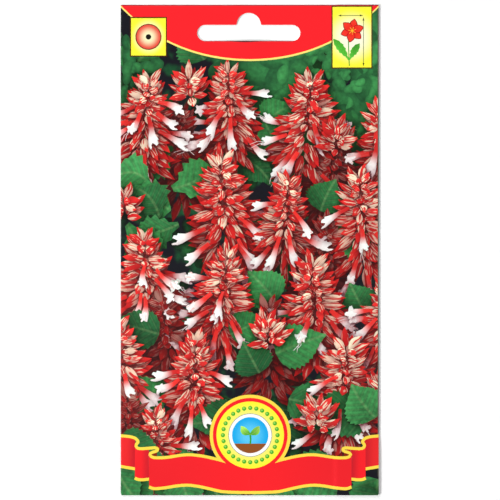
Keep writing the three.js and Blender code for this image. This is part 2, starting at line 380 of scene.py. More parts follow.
def flowers(foot, turn, size, tone):
    """Tubular flowers out of bracts, red at the foot and white from the middle on. Some show
    their hood and lip from the side, and one that points the other way is mirrored, so that its
    hood stays on top. Some show their ragged mouth, and a few have long stamens."""
    n = len(foot)
    droop = draw.uniform(*TUBE_DROOP, n)
    out = np.stack([np.cos(turn) * np.cos(droop), np.sin(turn) * np.cos(droop), np.sin(droop)], -1)
    start = foot + out * (0.35 * size)[:, None]
    reach = out * draw.uniform(*TUBE_LONG, n)[:, None]
    half = draw.uniform(*TUBE_HALF, n)
    frames, near = seen_frames(start, reach, half, draw.normal(0, 0.4, n), least=4.6)
    frames[:, 5] *= -np.sign(frames[:, 2] + 1e-6)
    near = near + TUBE_IN_FRONT
    red_foot = DEEP_RED + (BRIGHT_RED - DEEP_RED) * draw.uniform(0.45, 1, (n, 1))
    level = bounced(0.86 + 0.2 * np.clip(tone, 0, 1), red_foot)
    inks = np.hstack([red_foot * level, PALE * level, ROSE * level])
    inner = middle_part(frames)
    side_on = draw.random(n) < SEEN_SIDE_ON
    for outline, kept in ((TUBE, side_on), (SHORT_TUBE, ~side_on)):
        looks = look(streaks=0.05, mottling=0.2, across=0.3)
        picture.add(laid(outline, frames[kept]), inner[kept], inks[kept], looks, near[kept])
    tube, shade, count = frames[~side_on], level[~side_on], np.sum(~side_on)
    star = np.column_stack([
        point_along(tube, 0.84) - tube[:, 2:4] * MOUTH_LONG / 2, tube[:, 2:4],
        np.full(count, MOUTH_LONG), draw.uniform(*MOUTH_HALF, count), np.zeros(count),
    ])
    outlines = laid(star_outlines(count), star)
    white = np.hstack([PALE * 0.94 * shade, PALE * shade, ROSE * 1.15 * shade])
    looks = look(streaks=0.1, mottling=0.35, across=0.12)
    picture.add(outlines, star, white, looks, near[~side_on] + 0.4)
    with_threads = draw.random(n) < WITH_THREADS
    tube, count = frames[with_threads], np.sum(with_threads)
    for spread in THREADS_APART:
        angle = np.arctan2(tube[:, 3], tube[:, 2]) + spread
        threads = np.column_stack([
            point_along(tube, 0.92), np.cos(angle), np.sin(angle), draw.uniform(*THREAD_LONG, count),
            np.full(count, THREAD_HALF), draw.normal(0, 0.4, count),
        ])
        white = np.tile(PALE * 0.8, 3)
        picture.add(laid(THREAD, threads), threads, white, PLAIN, near[with_threads] + 0.5)


SPIKE_Z, WHORLS = 60.0, 12
RING_RADIUS, RING_LONG = np.array([1, 0.55, 0.2]), np.array([1, 0.85, 0.6])
RING_WIDE, RING_LEVEL = np.array([1, 0.95, 0.8]), np.array([1, 0.9, 0.8])


def spike(x, top, length, lean, count=WHORLS, wide=1.0, tone=1.0, back=0.0, bloom=0.2, upright=0.0):
    """One flower spike, its tip at (x, top) in the picture: whorls of bracts down a stem that
    leans, with flowers out of the lower ones. With s from 0 at the tip to 1 at the foot, a whorl's
    bracts stand on a circle of radius 0.6 + 4.4 s and point from 58 degrees up to 20 down, by s to
    the power 0.7. Up to two inner rings have smaller bracts, 20 degrees more upright each. A
    spike that is set back has no flowers."""
    tip = np.array([x, (SPIKE_Z * np.cos(TILT) - top) / np.sin(TILT), SPIKE_Z])
    axis = np.array([np.sin(lean), 0.0, -np.cos(lean)])
    down, turn, rise, inner = [], [], [], []
    for k in range(count):
        s = (k + 0.3) / WHORLS
        n = int(5 + 8 * s ** 0.7)
        for ring in range(3 if 2 < k < 8 else 2 if k > 0 else 1):
            m = (n, int(n * 0.7), n // 2)[ring]
            down.append(np.full(m, s) + draw.normal(0, 0.012, m))
            turn.append(np.arange(m) * 2 * np.pi / m + draw.uniform(0, ROUND) + draw.normal(0, 0.14, m))
            rise.append(np.radians(58 - 78 * s ** 0.7 + 20 * ring + upright) + draw.normal(0, 0.16, m))
            inner.append(np.full(m, ring))
    s, turn, rise, inner = (np.concatenate(part) for part in (down, turn, rise, inner))
    n = len(s)
    out = np.stack([np.cos(turn), np.sin(turn), 0 * turn], -1)
    stem = tip + axis * (s * length)[:, None]
    radius = (0.6 + 4.4 * s) * RING_RADIUS[inner] * wide
    foot = stem + out * radius[:, None]
    reach = out * np.cos(rise)[:, None] + np.array([0, 0, 1]) * np.sin(rise)[:, None]
    size = (5.2 + 2.6 * s) * draw.uniform(0.82, 1.14, n) * RING_LONG[inner] * wide
    half = (1.0 + 0.35 * s) * draw.uniform(0.8, 1.14, n) * RING_WIDE[inner] * wide
    frames, near = seen_frames(foot, reach * size[:, None], half, draw.normal(0, 0.25, n))
    end_on = np.clip(1.5 - frames[:, 4] / half / 2, 0, 1)
    facing = 0.5 + 0.5 * out[:, 1]
    level = (0.76 + 0.3 * facing) * RING_LEVEL[inner] * (1.22 - 0.7 * s)
    level = level * draw.uniform(0.8, 1.14, n) * tone
    cream = np.clip(draw.beta(1.0, 1.9, n) * (1.4 - 1.0 * s) * (1 - 0.8 * end_on), 0, 1)
    foot_ink = DEEP_RED + (RED - DEEP_RED) * draw.uniform(0.3, 1, (n, 1))
    foot_ink = foot_ink + (ROSE - foot_ink) * (cream * 0.3)[:, None]
    tip_ink = RED + (BRIGHT_RED - RED) * draw.uniform(0.1, 1, (n, 1))
    streak = CREAM + (ROSE - CREAM) * draw.uniform(0, 0.35, (n, 1))
    lit = bounced(level, foot_ink)
    inks = np.hstack([foot_ink * lit, tip_ink * lit, streak * lit])
    looks = look(streaks=0.1 + 0.9 * cream, mottling=0.35, across=draw.uniform(0.15, 0.45, n))
    picture.add(laid(BRACT, frames), frames, inks, looks, near - back)
    chosen = (s > 0.2) & (inner == 0) & (draw.random(n) < bloom) & (out[:, 1] > -0.5)
    blooms = np.flatnonzero(chosen)
    if len(blooms) and not back:
        flowers(foot[blooms], turn[blooms], size[blooms], level[blooms])


def far_foliage(count, x, y, long, tone, contrast=1.0):
    """Leaves far behind, out of focus: plain ovals that fade from a bright middle to a darker rim."""
    turn = draw.uniform(0, ROUND, count)
    size = draw.uniform(*long, count)
    frames = np.column_stack([
        draw.uniform(*x, count), draw.uniform(*y, count), np.cos(turn), np.sin(turn), size,
        size * draw.uniform(0.24, 0.36, count), draw.normal(0, 0.6, count),
    ])
    bright = draw.uniform(*tone, (count, 1))
    middle = DEEP_GREEN + (GREEN * 1.1 - DEEP_GREEN) * bright
    rim = middle + (SHADE + (DEEP_GREEN - SHADE) * bright - middle) * contrast
    around = arc(0.5, 0, 0.5, 0, 360, 25)[:-1] * (1, 2)
    looks = look(mottling=0.8, across=0.1, blur=0.25, radial=1)
    layer = FAR_LAYER + bright[:, 0] - contrast
    picture.add(laid(around, frames), frames, np.hstack([rim, rim, middle]), looks, layer)


def leaf_outline(teeth=11):
    """A salvia leaf: rounded at the foot, pointed at the tip, its margin cut in small teeth."""
    u = np.linspace(0, 1, 3 * teeth + 1)
    wide = np.sin(np.pi * u ** 0.62) ** 0.85 * (1 - 0.4 * blend(u, 0.6, 1.0))
    third = np.arange(len(u)) % 3
    tooth = (third == 2) * 0.07 - (third == 0) * 0.05
    return mirrored(np.column_stack([u, wide * (1 + tooth * (u < 0.97))]))


LEAF = leaf_outline()
FEATHERED = mirrored([
    (0, 0.14), (0.2, 0.3), (0.26, 0.62), (0.38, 0.62), (0.43, 0.96), (0.56, 0.82), (0.6, 1.04),
    (0.74, 0.76), (0.8, 0.8), (1, 0.05),
])


def leaves(x, y_seen, z, turn, rise, long, wide, tone, outline=LEAF):
    """Leaves between the plants, each half of the blade taking the light its own way."""
    n = len(x)
    foot = np.column_stack([x, (z * np.cos(TILT) - y_seen) / np.sin(TILT), z])
    out = np.stack([np.cos(turn) * np.cos(rise), np.sin(turn) * np.cos(rise), np.sin(rise)], -1)
    frames, near = seen_frames(foot, out * long[:, None], long * wide, draw.normal(0, 1.2, n))
    tone = tone[:, None]
    base = DEEP_GREEN * 0.7 + (GREEN - DEEP_GREEN * 0.7) * tone * draw.uniform(0.3, 1, (n, 1))
    tip = base + (GREEN * 1.1 - base) * draw.uniform(0.2, 1, (n, 1)) * tone
    vein = base + (LIGHT_GREEN - base) * 0.55
    across = draw.uniform(0.1, 0.4, n) * draw.choice([-1, 1], n)
    looks = look(veins=0.4, mottling=1.0, across=across)
    picture.add(laid(outline, frames), frames, np.concatenate([base, tip, vein], 1), looks, near)


def scattered_leaves(count, z, size, tone):
    """Leaves at random places, heights, directions and brightnesses within these ranges."""
    leaves(
        draw.uniform(-42, 42, count), draw.uniform(-4, 140, count), draw.uniform(*z, count),
        draw.uniform(0, ROUND, count), np.radians(draw.uniform(-30, 35, count)),
        draw.uniform(*size, count), draw.uniform(0.27, 0.4, count), draw.uniform(*tone, count),
    )


def placed_leaves(rows, wide, outline=LEAF):
    """Leaves at chosen places, each as x, y in the picture, height, direction, length and tone."""
    for x, y, z, turn, long, tone in rows:
        leaves(*np.array([[x], [y], [z], [turn], [-0.1], [long], [wide], [tone]], float), outline)


# Foliage out of focus lies behind all of it, brightest and finest at the upper right, then come
# dim leaves and dim spikes deep in the bed
far_foliage(60, (-42, 42), (0, 140), (6, 13), (0.0, 0.55))
far_foliage(26, (8, 42), (104, 142), (14, 22), (0.45, 0.7), 0.6)
far_foliage(150, (8, 42), (104, 142), (2.6, 6), (0.4, 1.1), 0.35)
far_foliage(60, (-42, -30), (96, 142), (2.6, 6), (0.2, 0.8), 0.4)
scattered_leaves(18, (0, 14), (11, 19), (0.0, 0.4))
for x, top, lean in [
    (-22, 118, 0.05), (27, 112, -0.1), (24, 84, -0.1), (-27, 60, 0.1), (6, 58, 0.0), (-38, 30, 0.05),
]:
    spike(x, top, 34, lean, tone=0.28, back=26.0)

# Leaves fill the places between the spikes in flower, and small young spikes open among them
placed_leaves([
    (-38, 131, 26, 5.2, 20, 0.7), (-14, 135, 26, 4.4, 18, 0.9), (26, 136, 26, 3.6, 17, 0.8),
    (36, 131, 26, 4.4, 19, 1.0), (-23, 113, 36, 4.0, 16, 1.0), (5, 113, 34, 5.4, 16, 0.9),
    (25, 109, 34, 3.4, 15, 0.75), (9, 108, 36, 4.4, 15, 0.6), (22, 88, 38, 5.0, 17, 0.6),
    (37, 76, 36, 3.9, 17, 1.0), (8, 60, 38, 4.2, 18, 1.0), (-6, 50, 36, 5.6, 15, 0.7),
    (36, 56, 36, 4.4, 17, 0.7), (-28, 50, 38, 3.6, 17, 0.5), (8, 44, 40, 5.7, 19, 0.9),
    (3, 38, 38, 4.4, 17, 0.35), (-39, 26, 38, 5.4, 22, 0.9), (12, 30, 38, 0.4, 17, 0.4),
    (-4, 26, 38, 2.9, 16, 0.4), (27, 9, 40, 2.7, 24, 0.85), (-30, 9, 40, 0.4, 24, 0.9),
    (-12, 3, 40, 1.0, 18, 0.7), (12, 3, 40, 2.2, 18, 0.9), (40, 5, 42, 1.9, 22, 0.7),
    (-42, 6, 42, 1.0, 20, 0.6), (36, 24, 40, 3.0, 20, 0.6), (-42, 10, 72, 1.1, 18, 0.7),
    (-20.5, 8, 72, 1.3, 18, 0.9), (-8, -5, 64, 1.7, 16, 0.8), (9, -5, 62, 1.3, 16, 0.7),
    (24, -4, 64, 1.9, 18, 0.8), (41, 0, 62, 2.3, 19, 0.9), (39, 24, 62, 4.3, 19, 0.9),
    (-40, 18, 62, 0.5, 16, 0.8),
], 0.36)
placed_leaves([
    (-38, 102, 30, 5.6, 17, 0.7), (-27, 103, 30, 4.5, 16, 0.95), (-41, 92, 32, 0.2, 17, 1.0),
    (-30, 94, 32, 3.6, 15, 0.8), (-24, 95, 34, 5.6, 17, 1.0), (-38, 84, 34, 0.9, 16, 0.9),
    (-28, 86, 34, 4.3, 16, 0.7), (-22, 84, 34, 2.8, 14, 0.9),
], 0.42, FEATHERED)
for x, top, length, lean, wide in [
    (-31, 128, 34, -0.1, 1.05), (-7, 131, 33, 0.06, 1.0), (19, 128, 35, -0.06, 1.1),
    (40, 119, 34, 0.1, 1.0), (-9, 103, 37, 0.06, 1.15), (12, 97, 34, -0.05, 0.95),
    (34, 98, 36, 0.05, 1.1), (-33, 79, 36, 0.06, 1.15), (-7, 74, 36, -0.08, 1.05),
    (19, 71, 37, 0.08, 1.15), (42, 64, 34, 0.0, 1.0), (-41, 52, 34, 0.08, 1.0),
    (-17, 47, 38, 0.0, 1.15), (30, 46, 38, -0.05, 1.2), (-29, 24, 34, 0.02, 1.0),
]:
    spike(x, top, length, lean, wide=wide, bloom=0.17)
for x, top, tone in [
    (-19, 129, 0.9), (27, 113, 0.8), (-39, 92, 0.9), (5, 53, 1.0), (41, 34, 0.9), (21, 27, 1.0),
]:
    spike(x, top, 34, draw.normal(0, 0.1), count=3, wide=1.2, tone=tone, bloom=0, upright=0.45)


def box(x0, y0, x1, y1):
    """The outline of a box with these opposite corners."""
    return np.array([(x0, y0), (x1, y0), (x1, y1), (x0, y1)], float)


# Everything printed: the bare sheet, the picture's dark ground, and its pieces from far to near
frames, inks, looks, near = picture.rows()
order = np.argsort(near)
paint = Print()
PRINT_EDGE = FOLD_X + 0.6 * FOLD_ARC
BLEED, CLEAN = 6.0, ink(250, 250, 248)
paint.flat(blank + np.sign(blank - blank.mean(0)) * BEYOND, CLEAN)
ground = box(-PRINT_EDGE, -BLEED, PRINT_EDGE, HEIGHT + BEYOND)
paint.flat(ground, SHADE, SHADE, DEEP_GREEN * 0.9, look(mottling=0.6, blur=1))
picture_first = len(paint.outlines)
paint.add([picture.outlines[i] for i in order], frames[order], inks[order], looks[order], near[order])
picture_last = len(paint.outlines)

# Over the picture come the flat graphics: the red header with its yellow edge, two pictogram
# boxes with dark outlines, and a red ribbon that is folded back at its ends and carries a round
# badge with a seedling in a ring of beads. All of it is solid ink with hard edges. Painted shade
# is laid in here too: a dark band on the turn of the right fold, a dark line along the top edge
# and a dark band under the slot's lifted lip.
HEADER_RED, HEADER_EDGING, TOP_EDGE_SHADE = ink(252, 40, 47), ink(255, 236, 124), ink(140, 34, 46)
HEADER_FOOT, HEADER_BOW, HEADER_FLARE, HEADER_LINE, TOP_EDGE_SHADE_WIDE = 134.6, 0.0080, 1.5e-6, 0.62, 0.22
# Two inks of painted shade: the first for the shadow under the slot's lifted lip, the second for the shade
# on the turn of the right fold
LIP_SHADOW_INK, FOLD_SHADE_INK = ink(104, 40, 44), ink(98, 94, 80)
BLACK, WHITE, SPROUT = ink(30, 28, 22), ink(255, 255, 255), ink(84, 184, 58)


def bar(x0, y0, x1, y1, colour):
    """A box of one ink."""
    paint.flat(box(x0, y0, x1, y1), colour)


def smooth_line(points, parts=5):
    """A curve through points, by the Catmull-Rom rule, with this many steps between each two."""
    p = np.asarray(points, float)
    p = np.concatenate([2 * p[:1] - p[1:2], p, 2 * p[-1:] - p[-2:-1]])
    t = np.linspace(0, 1, parts, endpoint=False)[:, None, None]
    a, b, c, d = p[:-3], p[1:-2], p[2:-1], p[3:]
    curve = b + t * (c - a) / 2 + t ** 2 * (a - 2.5 * b + 2 * c - d / 2)
    curve = curve + t ** 3 * (1.5 * (b - c) + (d - a) / 2)
    return np.concatenate([curve.transpose(1, 0, 2).reshape(-1, 2), p[-2:-1]])


def strip(points, wide):
    """The outline of a line of this width."""
    run = np.gradient(points, axis=0)
    side = np.column_stack([-run[:, 1], run[:, 0]])
    side = side / np.linalg.norm(run, axis=1, keepdims=True) * wide / 2
    return np.concatenate([points + side, (points - side)[::-1]])


def stroke(points, wide, colour):
    """A line of ink of this width along a smooth curve."""
    paint.flat(strip(smooth_line(points), wide), colour)


def disc(x, y, radius, rim, middle=None, count=72):
    """A round spot; with a second ink, its colour turns from that one in the middle to the rim's."""
    outline = arc(x, y, radius, 0, 360, count + 1)[:-1]
    if middle is None:
        paint.flat(outline, rim)
    else:
        paint.flat(outline, rim, rim, middle, RADIAL, (x - radius, y, 1, 0, 2 * radius, radius, 0))


def blade(unit, x, y, turn, long, half, bow, *colours, looks=PLAIN):
    """A petal or a leaf of this unit outline, which runs from (x, y) in a direction."""
    frame = (x, y, np.cos(turn), np.sin(turn), long, half, bow)
    paint.flat(laid(unit, np.array([frame]))[0], *colours, looks=looks, frame=frame)


def header_edge(x):
    """The header's lower edge: lowest in the middle, rising to the corners by the square and the
    fourth power of the distance from it."""
    return HEADER_FOOT + HEADER_BOW * x ** 2 + HEADER_FLARE * x ** 4


def header(left, right, middle):
    """The header over this stretch of the sheet: all of it yellow, then red from the line up."""
    xs = np.linspace(left, right, 61)
    top = [(right, HEIGHT + BEYOND), (left, HEIGHT + BEYOND)]
    for rise, colour in ((0, HEADER_EDGING), (HEADER_LINE, HEADER_RED)):
        lower = np.column_stack([xs, header_edge(xs - middle) + rise])
        paint.flat(np.concatenate([lower, top]), colour)


def painted_lip_shadow(reach=14.0, top=0.3):
    """Painted shadow: the header's red is darkened along the slot's lower edge, where the lifted lip shades
    the gap below it, most near its middle: a flat band and a bell curve below it."""
    xs = np.linspace(SLOT_X - reach, SLOT_X + reach, 41)
    lip_shadow_line = SLOT_Y - 0.10 - 0.30 * np.exp(-(((xs + 1.3) / 4.0) ** 2))
    ends = [(xs[-1], SLOT_Y + top), (xs[0], SLOT_Y + top)]
    paint.flat(np.concatenate([np.column_stack([xs, lip_shadow_line]), ends]), LIP_SHADOW_INK)


YELLOW, IVORY, PANEL_LINE, PANEL_EDGE = ink(254, 250, 62), ink(255, 253, 228), ink(84, 40, 6), 0.32
SUN_RADIUS, SUN_EYE = 3.85, 0.84
SUN_LINE, SUN_RIM, SUN_GLOW = ink(104, 34, 20), ink(238, 88, 70), ink(255, 246, 196)
ARROW_INK, ARROW_HALF, HEAD_LONG, HEAD_HALF = ink(96, 110, 60), 0.09, 0.85, 0.3


def soft_panel(x0, y0, x1, y1, glow_wide=1.1, glow_high=1.1):
    """A yellow pictogram box with a thin dark outline, and paler in the middle, in an oval that is
    this many times as wide and as high as the box."""
    bar(x0 - PANEL_EDGE, y0 - PANEL_EDGE, x1 + PANEL_EDGE, y1 + PANEL_EDGE, PANEL_LINE)
    middle_x, glow = (x0 + x1) / 2, (x1 - x0) * glow_wide
    frame = (middle_x - glow / 2, (y0 + y1) / 2, 1, 0, glow, (y1 - y0) / 2 * glow_high, 0)
    paint.flat(box(x0, y0, x1, y1), YELLOW, YELLOW, IVORY, RADIAL, frame)


def sun_symbol(x, y):
    """The sign for a place in full sun: a glowing disc with a dark middle."""
    disc(x, y, SUN_RADIUS + 0.18, SUN_LINE)
    disc(x, y, SUN_RADIUS - 0.1, SUN_RIM, SUN_GLOW)
    disc(x, y, SUN_EYE, BLACK, count=24)


def arrow(p, q):
    """A thin dimension line with a small solid head at each end."""
    p, q = np.array(p, float), np.array(q, float)
    along = (q - p) / np.linalg.norm(q - p)
    side = np.array([-along[1], along[0]])
    half, head = side * ARROW_HALF, side * HEAD_HALF
    paint.flat([p + half, q + half, q - half, p - half], ARROW_INK)
    for tip, back in ((p, along), (q, -along)):
        paint.flat([tip, tip + back * HEAD_LONG + head, tip + back * HEAD_LONG - head], BLACK)


PETAL = mirrored([(0, 0.3), (0.3, 0.85), (0.5, 1.0), (0.7, 0.8), (0.88, 0.42), (1, 0.04)])
PETAL_LINE, PETAL_FOOT, PETAL_TIP = ink(150, 30, 22), ink(236, 40, 34), ink(252, 64, 48)
PETAL_LONG, PETAL_HALF, PETAL_EDGE = 3.75, 1.36, 0.2
STAMEN, EYE = ink(255, 190, 60), ink(255, 196, 40)


def flower_symbol(x, y):
    """The sign for a flower: six pointed petals, a stem and two toothed leaves."""
    stroke([(x - 0.9, y - 10.9), (x - 1.05, y - 7), (x - 1.2, y - 2)], 0.28, SPROUT * 0.7)
    for turn, long, half in ((2.2, 8.3, 1.25), (1.02, 6.2, 1.15)):
        greens = (SPROUT, SPROUT * 0.8, SPROUT * 1.3)
        veined = look(veins=0.4, across=0.3)
        blade(FEATHERED, x - 0.95, y - 9.2, turn, long, half, 0.3 * np.cos(turn), *greens, looks=veined)
    for k in (0, 2, 4, 1, 3, 5):
        turn = np.radians(78 + 60 * k)
        blade(PETAL, x, y, turn, PETAL_LONG, PETAL_HALF, 0, PETAL_LINE)
        long, half = PETAL_LONG - PETAL_EDGE * 1.4, PETAL_HALF - PETAL_EDGE
        blade(PETAL, x, y, turn, long, half, 0, PETAL_FOOT, PETAL_TIP)
    for k in range(7):
        turn = np.radians(20 + 51 * k)
        end = np.array([np.cos(turn), np.sin(turn)]) * 1.25
        paint.flat(strip(np.array([(x, y), (x, y) + end]), 0.16), STAMEN)
    disc(x, y, 0.34, EYE, count=16)


# The ribbon's lines are given for its right half, from its middle and from the packet's foot on
RIBBON_X, EDGE_WIDE, EDGING = 0.15, 0.93, ink(255, 224, 78)
FOLD_RED, TAIL_RED, BROWN = ink(206, 36, 46), ink(238, 46, 48), ink(136, 40, 24)
RIBBON_TOP = [
    (0, 9.0), (4.5, 9.7), (8.6, 10.8), (10.64, 11.32), (13.72, 12.04), (16.8, 12.51), (19.26, 12.66),
    (21.72, 12.45), (24.19, 12.04), (26.65, 11.73), (29.11, 11.69), (30.34, 11.89), (30.98, 12.35),
]
FIRST_CURL = [
    (30.34, 11.89), (30.98, 12.35), (30.92, 12.96), (30.3, 13.36), (29.2, 13.7), (28.72, 14.12),
    (28.86, 14.58), (29.72, 14.77),
]
SECOND_TOP = [(29.0, 14.66), (29.72, 14.77), (32.19, 14.57), (34.03, 14.49), (35.0, 14.75), (35.37, 15.3)]
SECOND_CURL = [(35.0, 14.75), (35.37, 15.3), (35.2, 15.95), (34.8, 16.46), (34.9, 17.0), (35.5, 17.6)]
TAIL_TOP = [(34.84, 16.8), (35.4, 17.55), (36.5, 18.02), (37.93, 18.27), (40.4, 18.46)]
RIBBON_FOOT = [
    (0, 0.86), (4.5, 0.92), (8.6, 1.14), (10.64, 1.55), (13.72, 2.27), (16.8, 2.89), (19.87, 3.14),
    (22.95, 2.89), (26.03, 2.38), (29.11, 2.07), (30.34, 2.2), (31.36, 2.62),
]
SECOND_FOOT = [(31.2, 5.06), (33.2, 4.84), (34.9, 4.95), (35.75, 5.4)]
TAIL_FOOT = [(35.6, 8.2), (37.7, 8.54), (40.4, 9.02)]
TAIL_HIDDEN = [(35.6, 17.6), (36.5, 18.0), (37.93, 18.27), (40.4, 18.46)]
SECOND_HIDDEN = [(31.2, 14.6), (33, 14.5), (35.0, 14.7), (35.72, 15.2)]
TAIL_INSIDE = [(34.9, 15.2), (35.6, 15.2), (35.5, 16.2), (35.0, 16.5)]
SECOND_INSIDE = [(28.9, 12.1), (30.8, 12.1), (30.6, 13.1), (28.9, 13.4)]
RIBBON_END = (31.38, 12.3)
BADGE_X, BADGE_Y = 0.15, 18.76


def on_ribbon(points, side):
    """Points of the ribbon's right half, or of its mirrored left half for a side of -1."""
    return np.asarray(points) * (side, 1) + (RIBBON_X, 0)


def ribbon_edge(points, side):
    """Yellow edging along the turn of a fold."""
    paint.flat(strip(on_ribbon(smooth_line(points, 4), side), EDGE_WIDE), EDGING)


def ribbon_stretch(top, foot, side, red, start, end):
    """A stretch behind a fold, darkest beside it, with its lower edge in yellow."""
    upper, lower = (on_ribbon(smooth_line(points), side) for points in (top, foot))
    frame = (RIBBON_X + side * start, 0, side, 0, end - start, 50, 0)
    paint.flat(np.concatenate([upper, lower[::-1]]), FOLD_RED, red, frame=frame)
    paint.flat(strip(lower, EDGE_WIDE), EDGING)


def ribbon():
    """A ribbon across the packet's foot, folded back twice at each end, with yellow edging. Its
    tails come first, then the stretches behind the folds, the badge's yellow rim and the front."""
    for side in (-1, 1):
        ribbon_stretch(TAIL_HIDDEN, TAIL_FOOT, side, TAIL_RED, 35.7, 38.6)
        ribbon_edge(TAIL_TOP, side)
        paint.flat(on_ribbon(TAIL_INSIDE, side), BROWN)
        ribbon_edge(SECOND_CURL, side)
        ribbon_stretch(SECOND_HIDDEN, SECOND_FOOT, side, HEADER_RED, 31.3, 34.4)
        ribbon_edge(SECOND_TOP, side)
        paint.flat(on_ribbon(SECOND_INSIDE, side), BROWN)
        ribbon_edge(FIRST_CURL, side)
    disc(RIBBON_X, BADGE_Y, 12.55, EDGING)
    for side in (-1, 1):
        upper, lower = (on_ribbon(smooth_line(points), side) for points in (RIBBON_TOP, RIBBON_FOOT))
        outline = np.concatenate([upper, [on_ribbon(RIBBON_END, side)], lower[::-1]])
        frame = (RIBBON_X, 0, side, 0, 31.4, 50, 0)
        paint.flat(outline, HEADER_RED, HEADER_RED * (0.9, 1, 1), frame=frame)
        paint.flat(strip(upper[8:], EDGE_WIDE), EDGING)
        paint.flat(strip(lower, EDGE_WIDE), EDGING)


FIELD_RIM, FIELD_MIDDLE = ink(255, 248, 60), ink(250, 244, 176)
BEADS, BEAD_AT, BEAD_RADIUS, GLINT_RADIUS = 28, 8.45, 0.66, 0.34
BEAD_GREEN, BEAD_GLINT = ink(70, 176, 50), ink(150, 220, 96)
INNER_LINE, SKY_RIM, SKY_MIDDLE = ink(120, 128, 120), ink(34, 176, 240), ink(96, 206, 250)
SKY_RADIUS, SEEDLING_SOIL, SEEDLING_STEM = 5.6, ink(150, 84, 40), ink(60, 160, 48)
SEED_LEAF = mirrored([(0, 0.2), (0.25, 0.8), (0.5, 1), (0.75, 0.78), (1, 0.05)])
SEED_LEAF_GREENS = ink(74, 176, 54), ink(170, 226, 90), ink(200, 240, 130)


def badge(x, y):
    """A round badge: a red ring, a yellow field with a ring of beads, and a seedling on blue."""
    disc(x, y, 11.55, HEADER_RED)
    disc(x, y, 10.45, FIELD_RIM, FIELD_MIDDLE)
    for k in range(BEADS):
        turn = 2 * np.pi * k / BEADS
        at = (x + BEAD_AT * np.cos(turn), y + BEAD_AT * np.sin(turn))
        disc(*at, BEAD_RADIUS, BEAD_GREEN, count=14)
        disc(at[0] - 0.12, at[1] + 0.14, GLINT_RADIUS, BEAD_GLINT, count=10)
    disc(x, y, 6.75, INNER_LINE)
    disc(x, y, 6.6, WHITE)
    disc(x, y, SKY_RADIUS, SKY_RIM, SKY_MIDDLE)
    paint.flat(arc(x, y, SKY_RADIUS, 208, 332, 25), SEEDLING_SOIL)
    stroke([(x, y - 2.7), (x + 0.12, y - 1.2), (x - 0.04, y + 0.5)], 0.5, SEEDLING_STEM)
    for side in (-1, 1):
        turn = np.pi / 2 - side * 0.82
        looks = look(veins=0.5, across=0.2)
        blade(SEED_LEAF, x, y + 0.2, turn, 3.9, 1.15, -0.5 * side, *SEED_LEAF_GREENS, looks=looks)


# Painted shade on the turn of the right fold, from the foot of the picture up to the header: a dark band
# where the rounded edge turns from the light
fold_shade_band = box(FOLD_X - 0.16, BLEED, PRINT_EDGE, header_edge(PRINT_EDGE))
paint.flat(spaced(fold_shade_band, 2.0), FOLD_SHADE_INK)
header(-PRINT_EDGE, PRINT_EDGE, 0)
# Painted shade: a thin dark line along the sheet's top edge, where the cut edge falls into shade
bar(-PRINT_EDGE, HEIGHT - TOP_EDGE_SHADE_WIDE, PRINT_EDGE, HEIGHT + BEYOND, TOP_EDGE_SHADE)
# Painted shadow along the slot's lower edge, under the lifted lip
painted_lip_shadow()
soft_panel(-36.8, 136.3, -26.0, 147.95)
sun_symbol(-31.4, 142.1)
soft_panel(25.7, 132.6, 37.68, 151.4, 1.5, 1.0)
arrow((27.5, 148.7), (35.0, 148.7))
arrow((35.25, 148.0), (35.25, 133.1))
flower_symbol(31.75, 144.0)
ribbon()
badge(BADGE_X, BADGE_Y)

# The back is printed as well. The header runs round the left fold onto it, and below lie four
# pictograms, a sowing calendar of twelve months, ruled lines for notes and a red band. Each of the
# calendar's seasons has the months in which it starts and ends and its ink. The strip past the
# right fold and most of the flap stay unprinted, because they take the glue.
BACK_PAPER, RULE, TINT = ink(251, 249, 238), ink(176, 180, 166), ink(236, 244, 222)
SOIL, STEM, PINE, SOWN_SEED = ink(150, 92, 48), ink(60, 150, 52), ink(52, 128, 70), ink(70, 44, 26)
WATER, WATER_GLINT = ink(30, 140, 224), ink(190, 230, 252)
BACK_MIDDLE, BACK_HALF, FLAP_PRINT = BACK_A - FOLD_X, 34.0, 3.4
SIGN_Y, SIGN_HALF, SIGN_PITCH, SOIL_HALF = 119.0, 6.1, 17.27, 4.9
MONTHS, MONTH_WIDE, ROW_TALL, CALENDAR_FOOT = 12, 5.3, 4.8, 86.0
SEASONS = [(4, 9.5, ink(232, 62, 60)), (4, 6, ink(96, 184, 80)), (1, 4, ink(250, 176, 48))]
SEASON_INSET, SEASON_ROW, CALENDAR_LINE, CALENDAR_FRAME = 0.4, (1.2, 3.6), 0.09, 0.3
NOTE_TOP, NOTE_STEP, NOTES, NOTE_LINE = 77.0, 5.6, 9, 0.11
BAND_FOOT, BAND_LINE, BAND_TOP = 22.0, 22.6, 25.6


def framed(x0, y0, x1, y1, wide, colour):
    """The four thin lines of a box's frame."""
    for x in (x0, x1):
        bar(x - wide / 2, y0 - wide / 2, x + wide / 2, y1 + wide / 2, colour)
    for y in (y0, y1):
        bar(x0 + wide / 2, y - wide / 2, x1 - wide / 2, y + wide / 2, colour)


def sprig(x, y, tall):
    """A young plant: a stem with two pairs of plain leaves."""
    stroke([(x, y), (x + 0.08, y + tall / 2), (x, y + tall)], 0.3, STEM)
    greens, looks = (SPROUT, SPROUT * 1.3, SPROUT * 1.6), look(veins=0.4, across=0.2)
    for up, long in ((0.42, 0.46), (0.86, 0.54)):
        for side in (-1, 1):
            turn, size = np.pi / 2 - side * 0.95, (tall * long, tall * 0.12, -0.2 * side)
            blade(BRACT, x, y + tall * up, turn, *size, *greens, looks=looks)


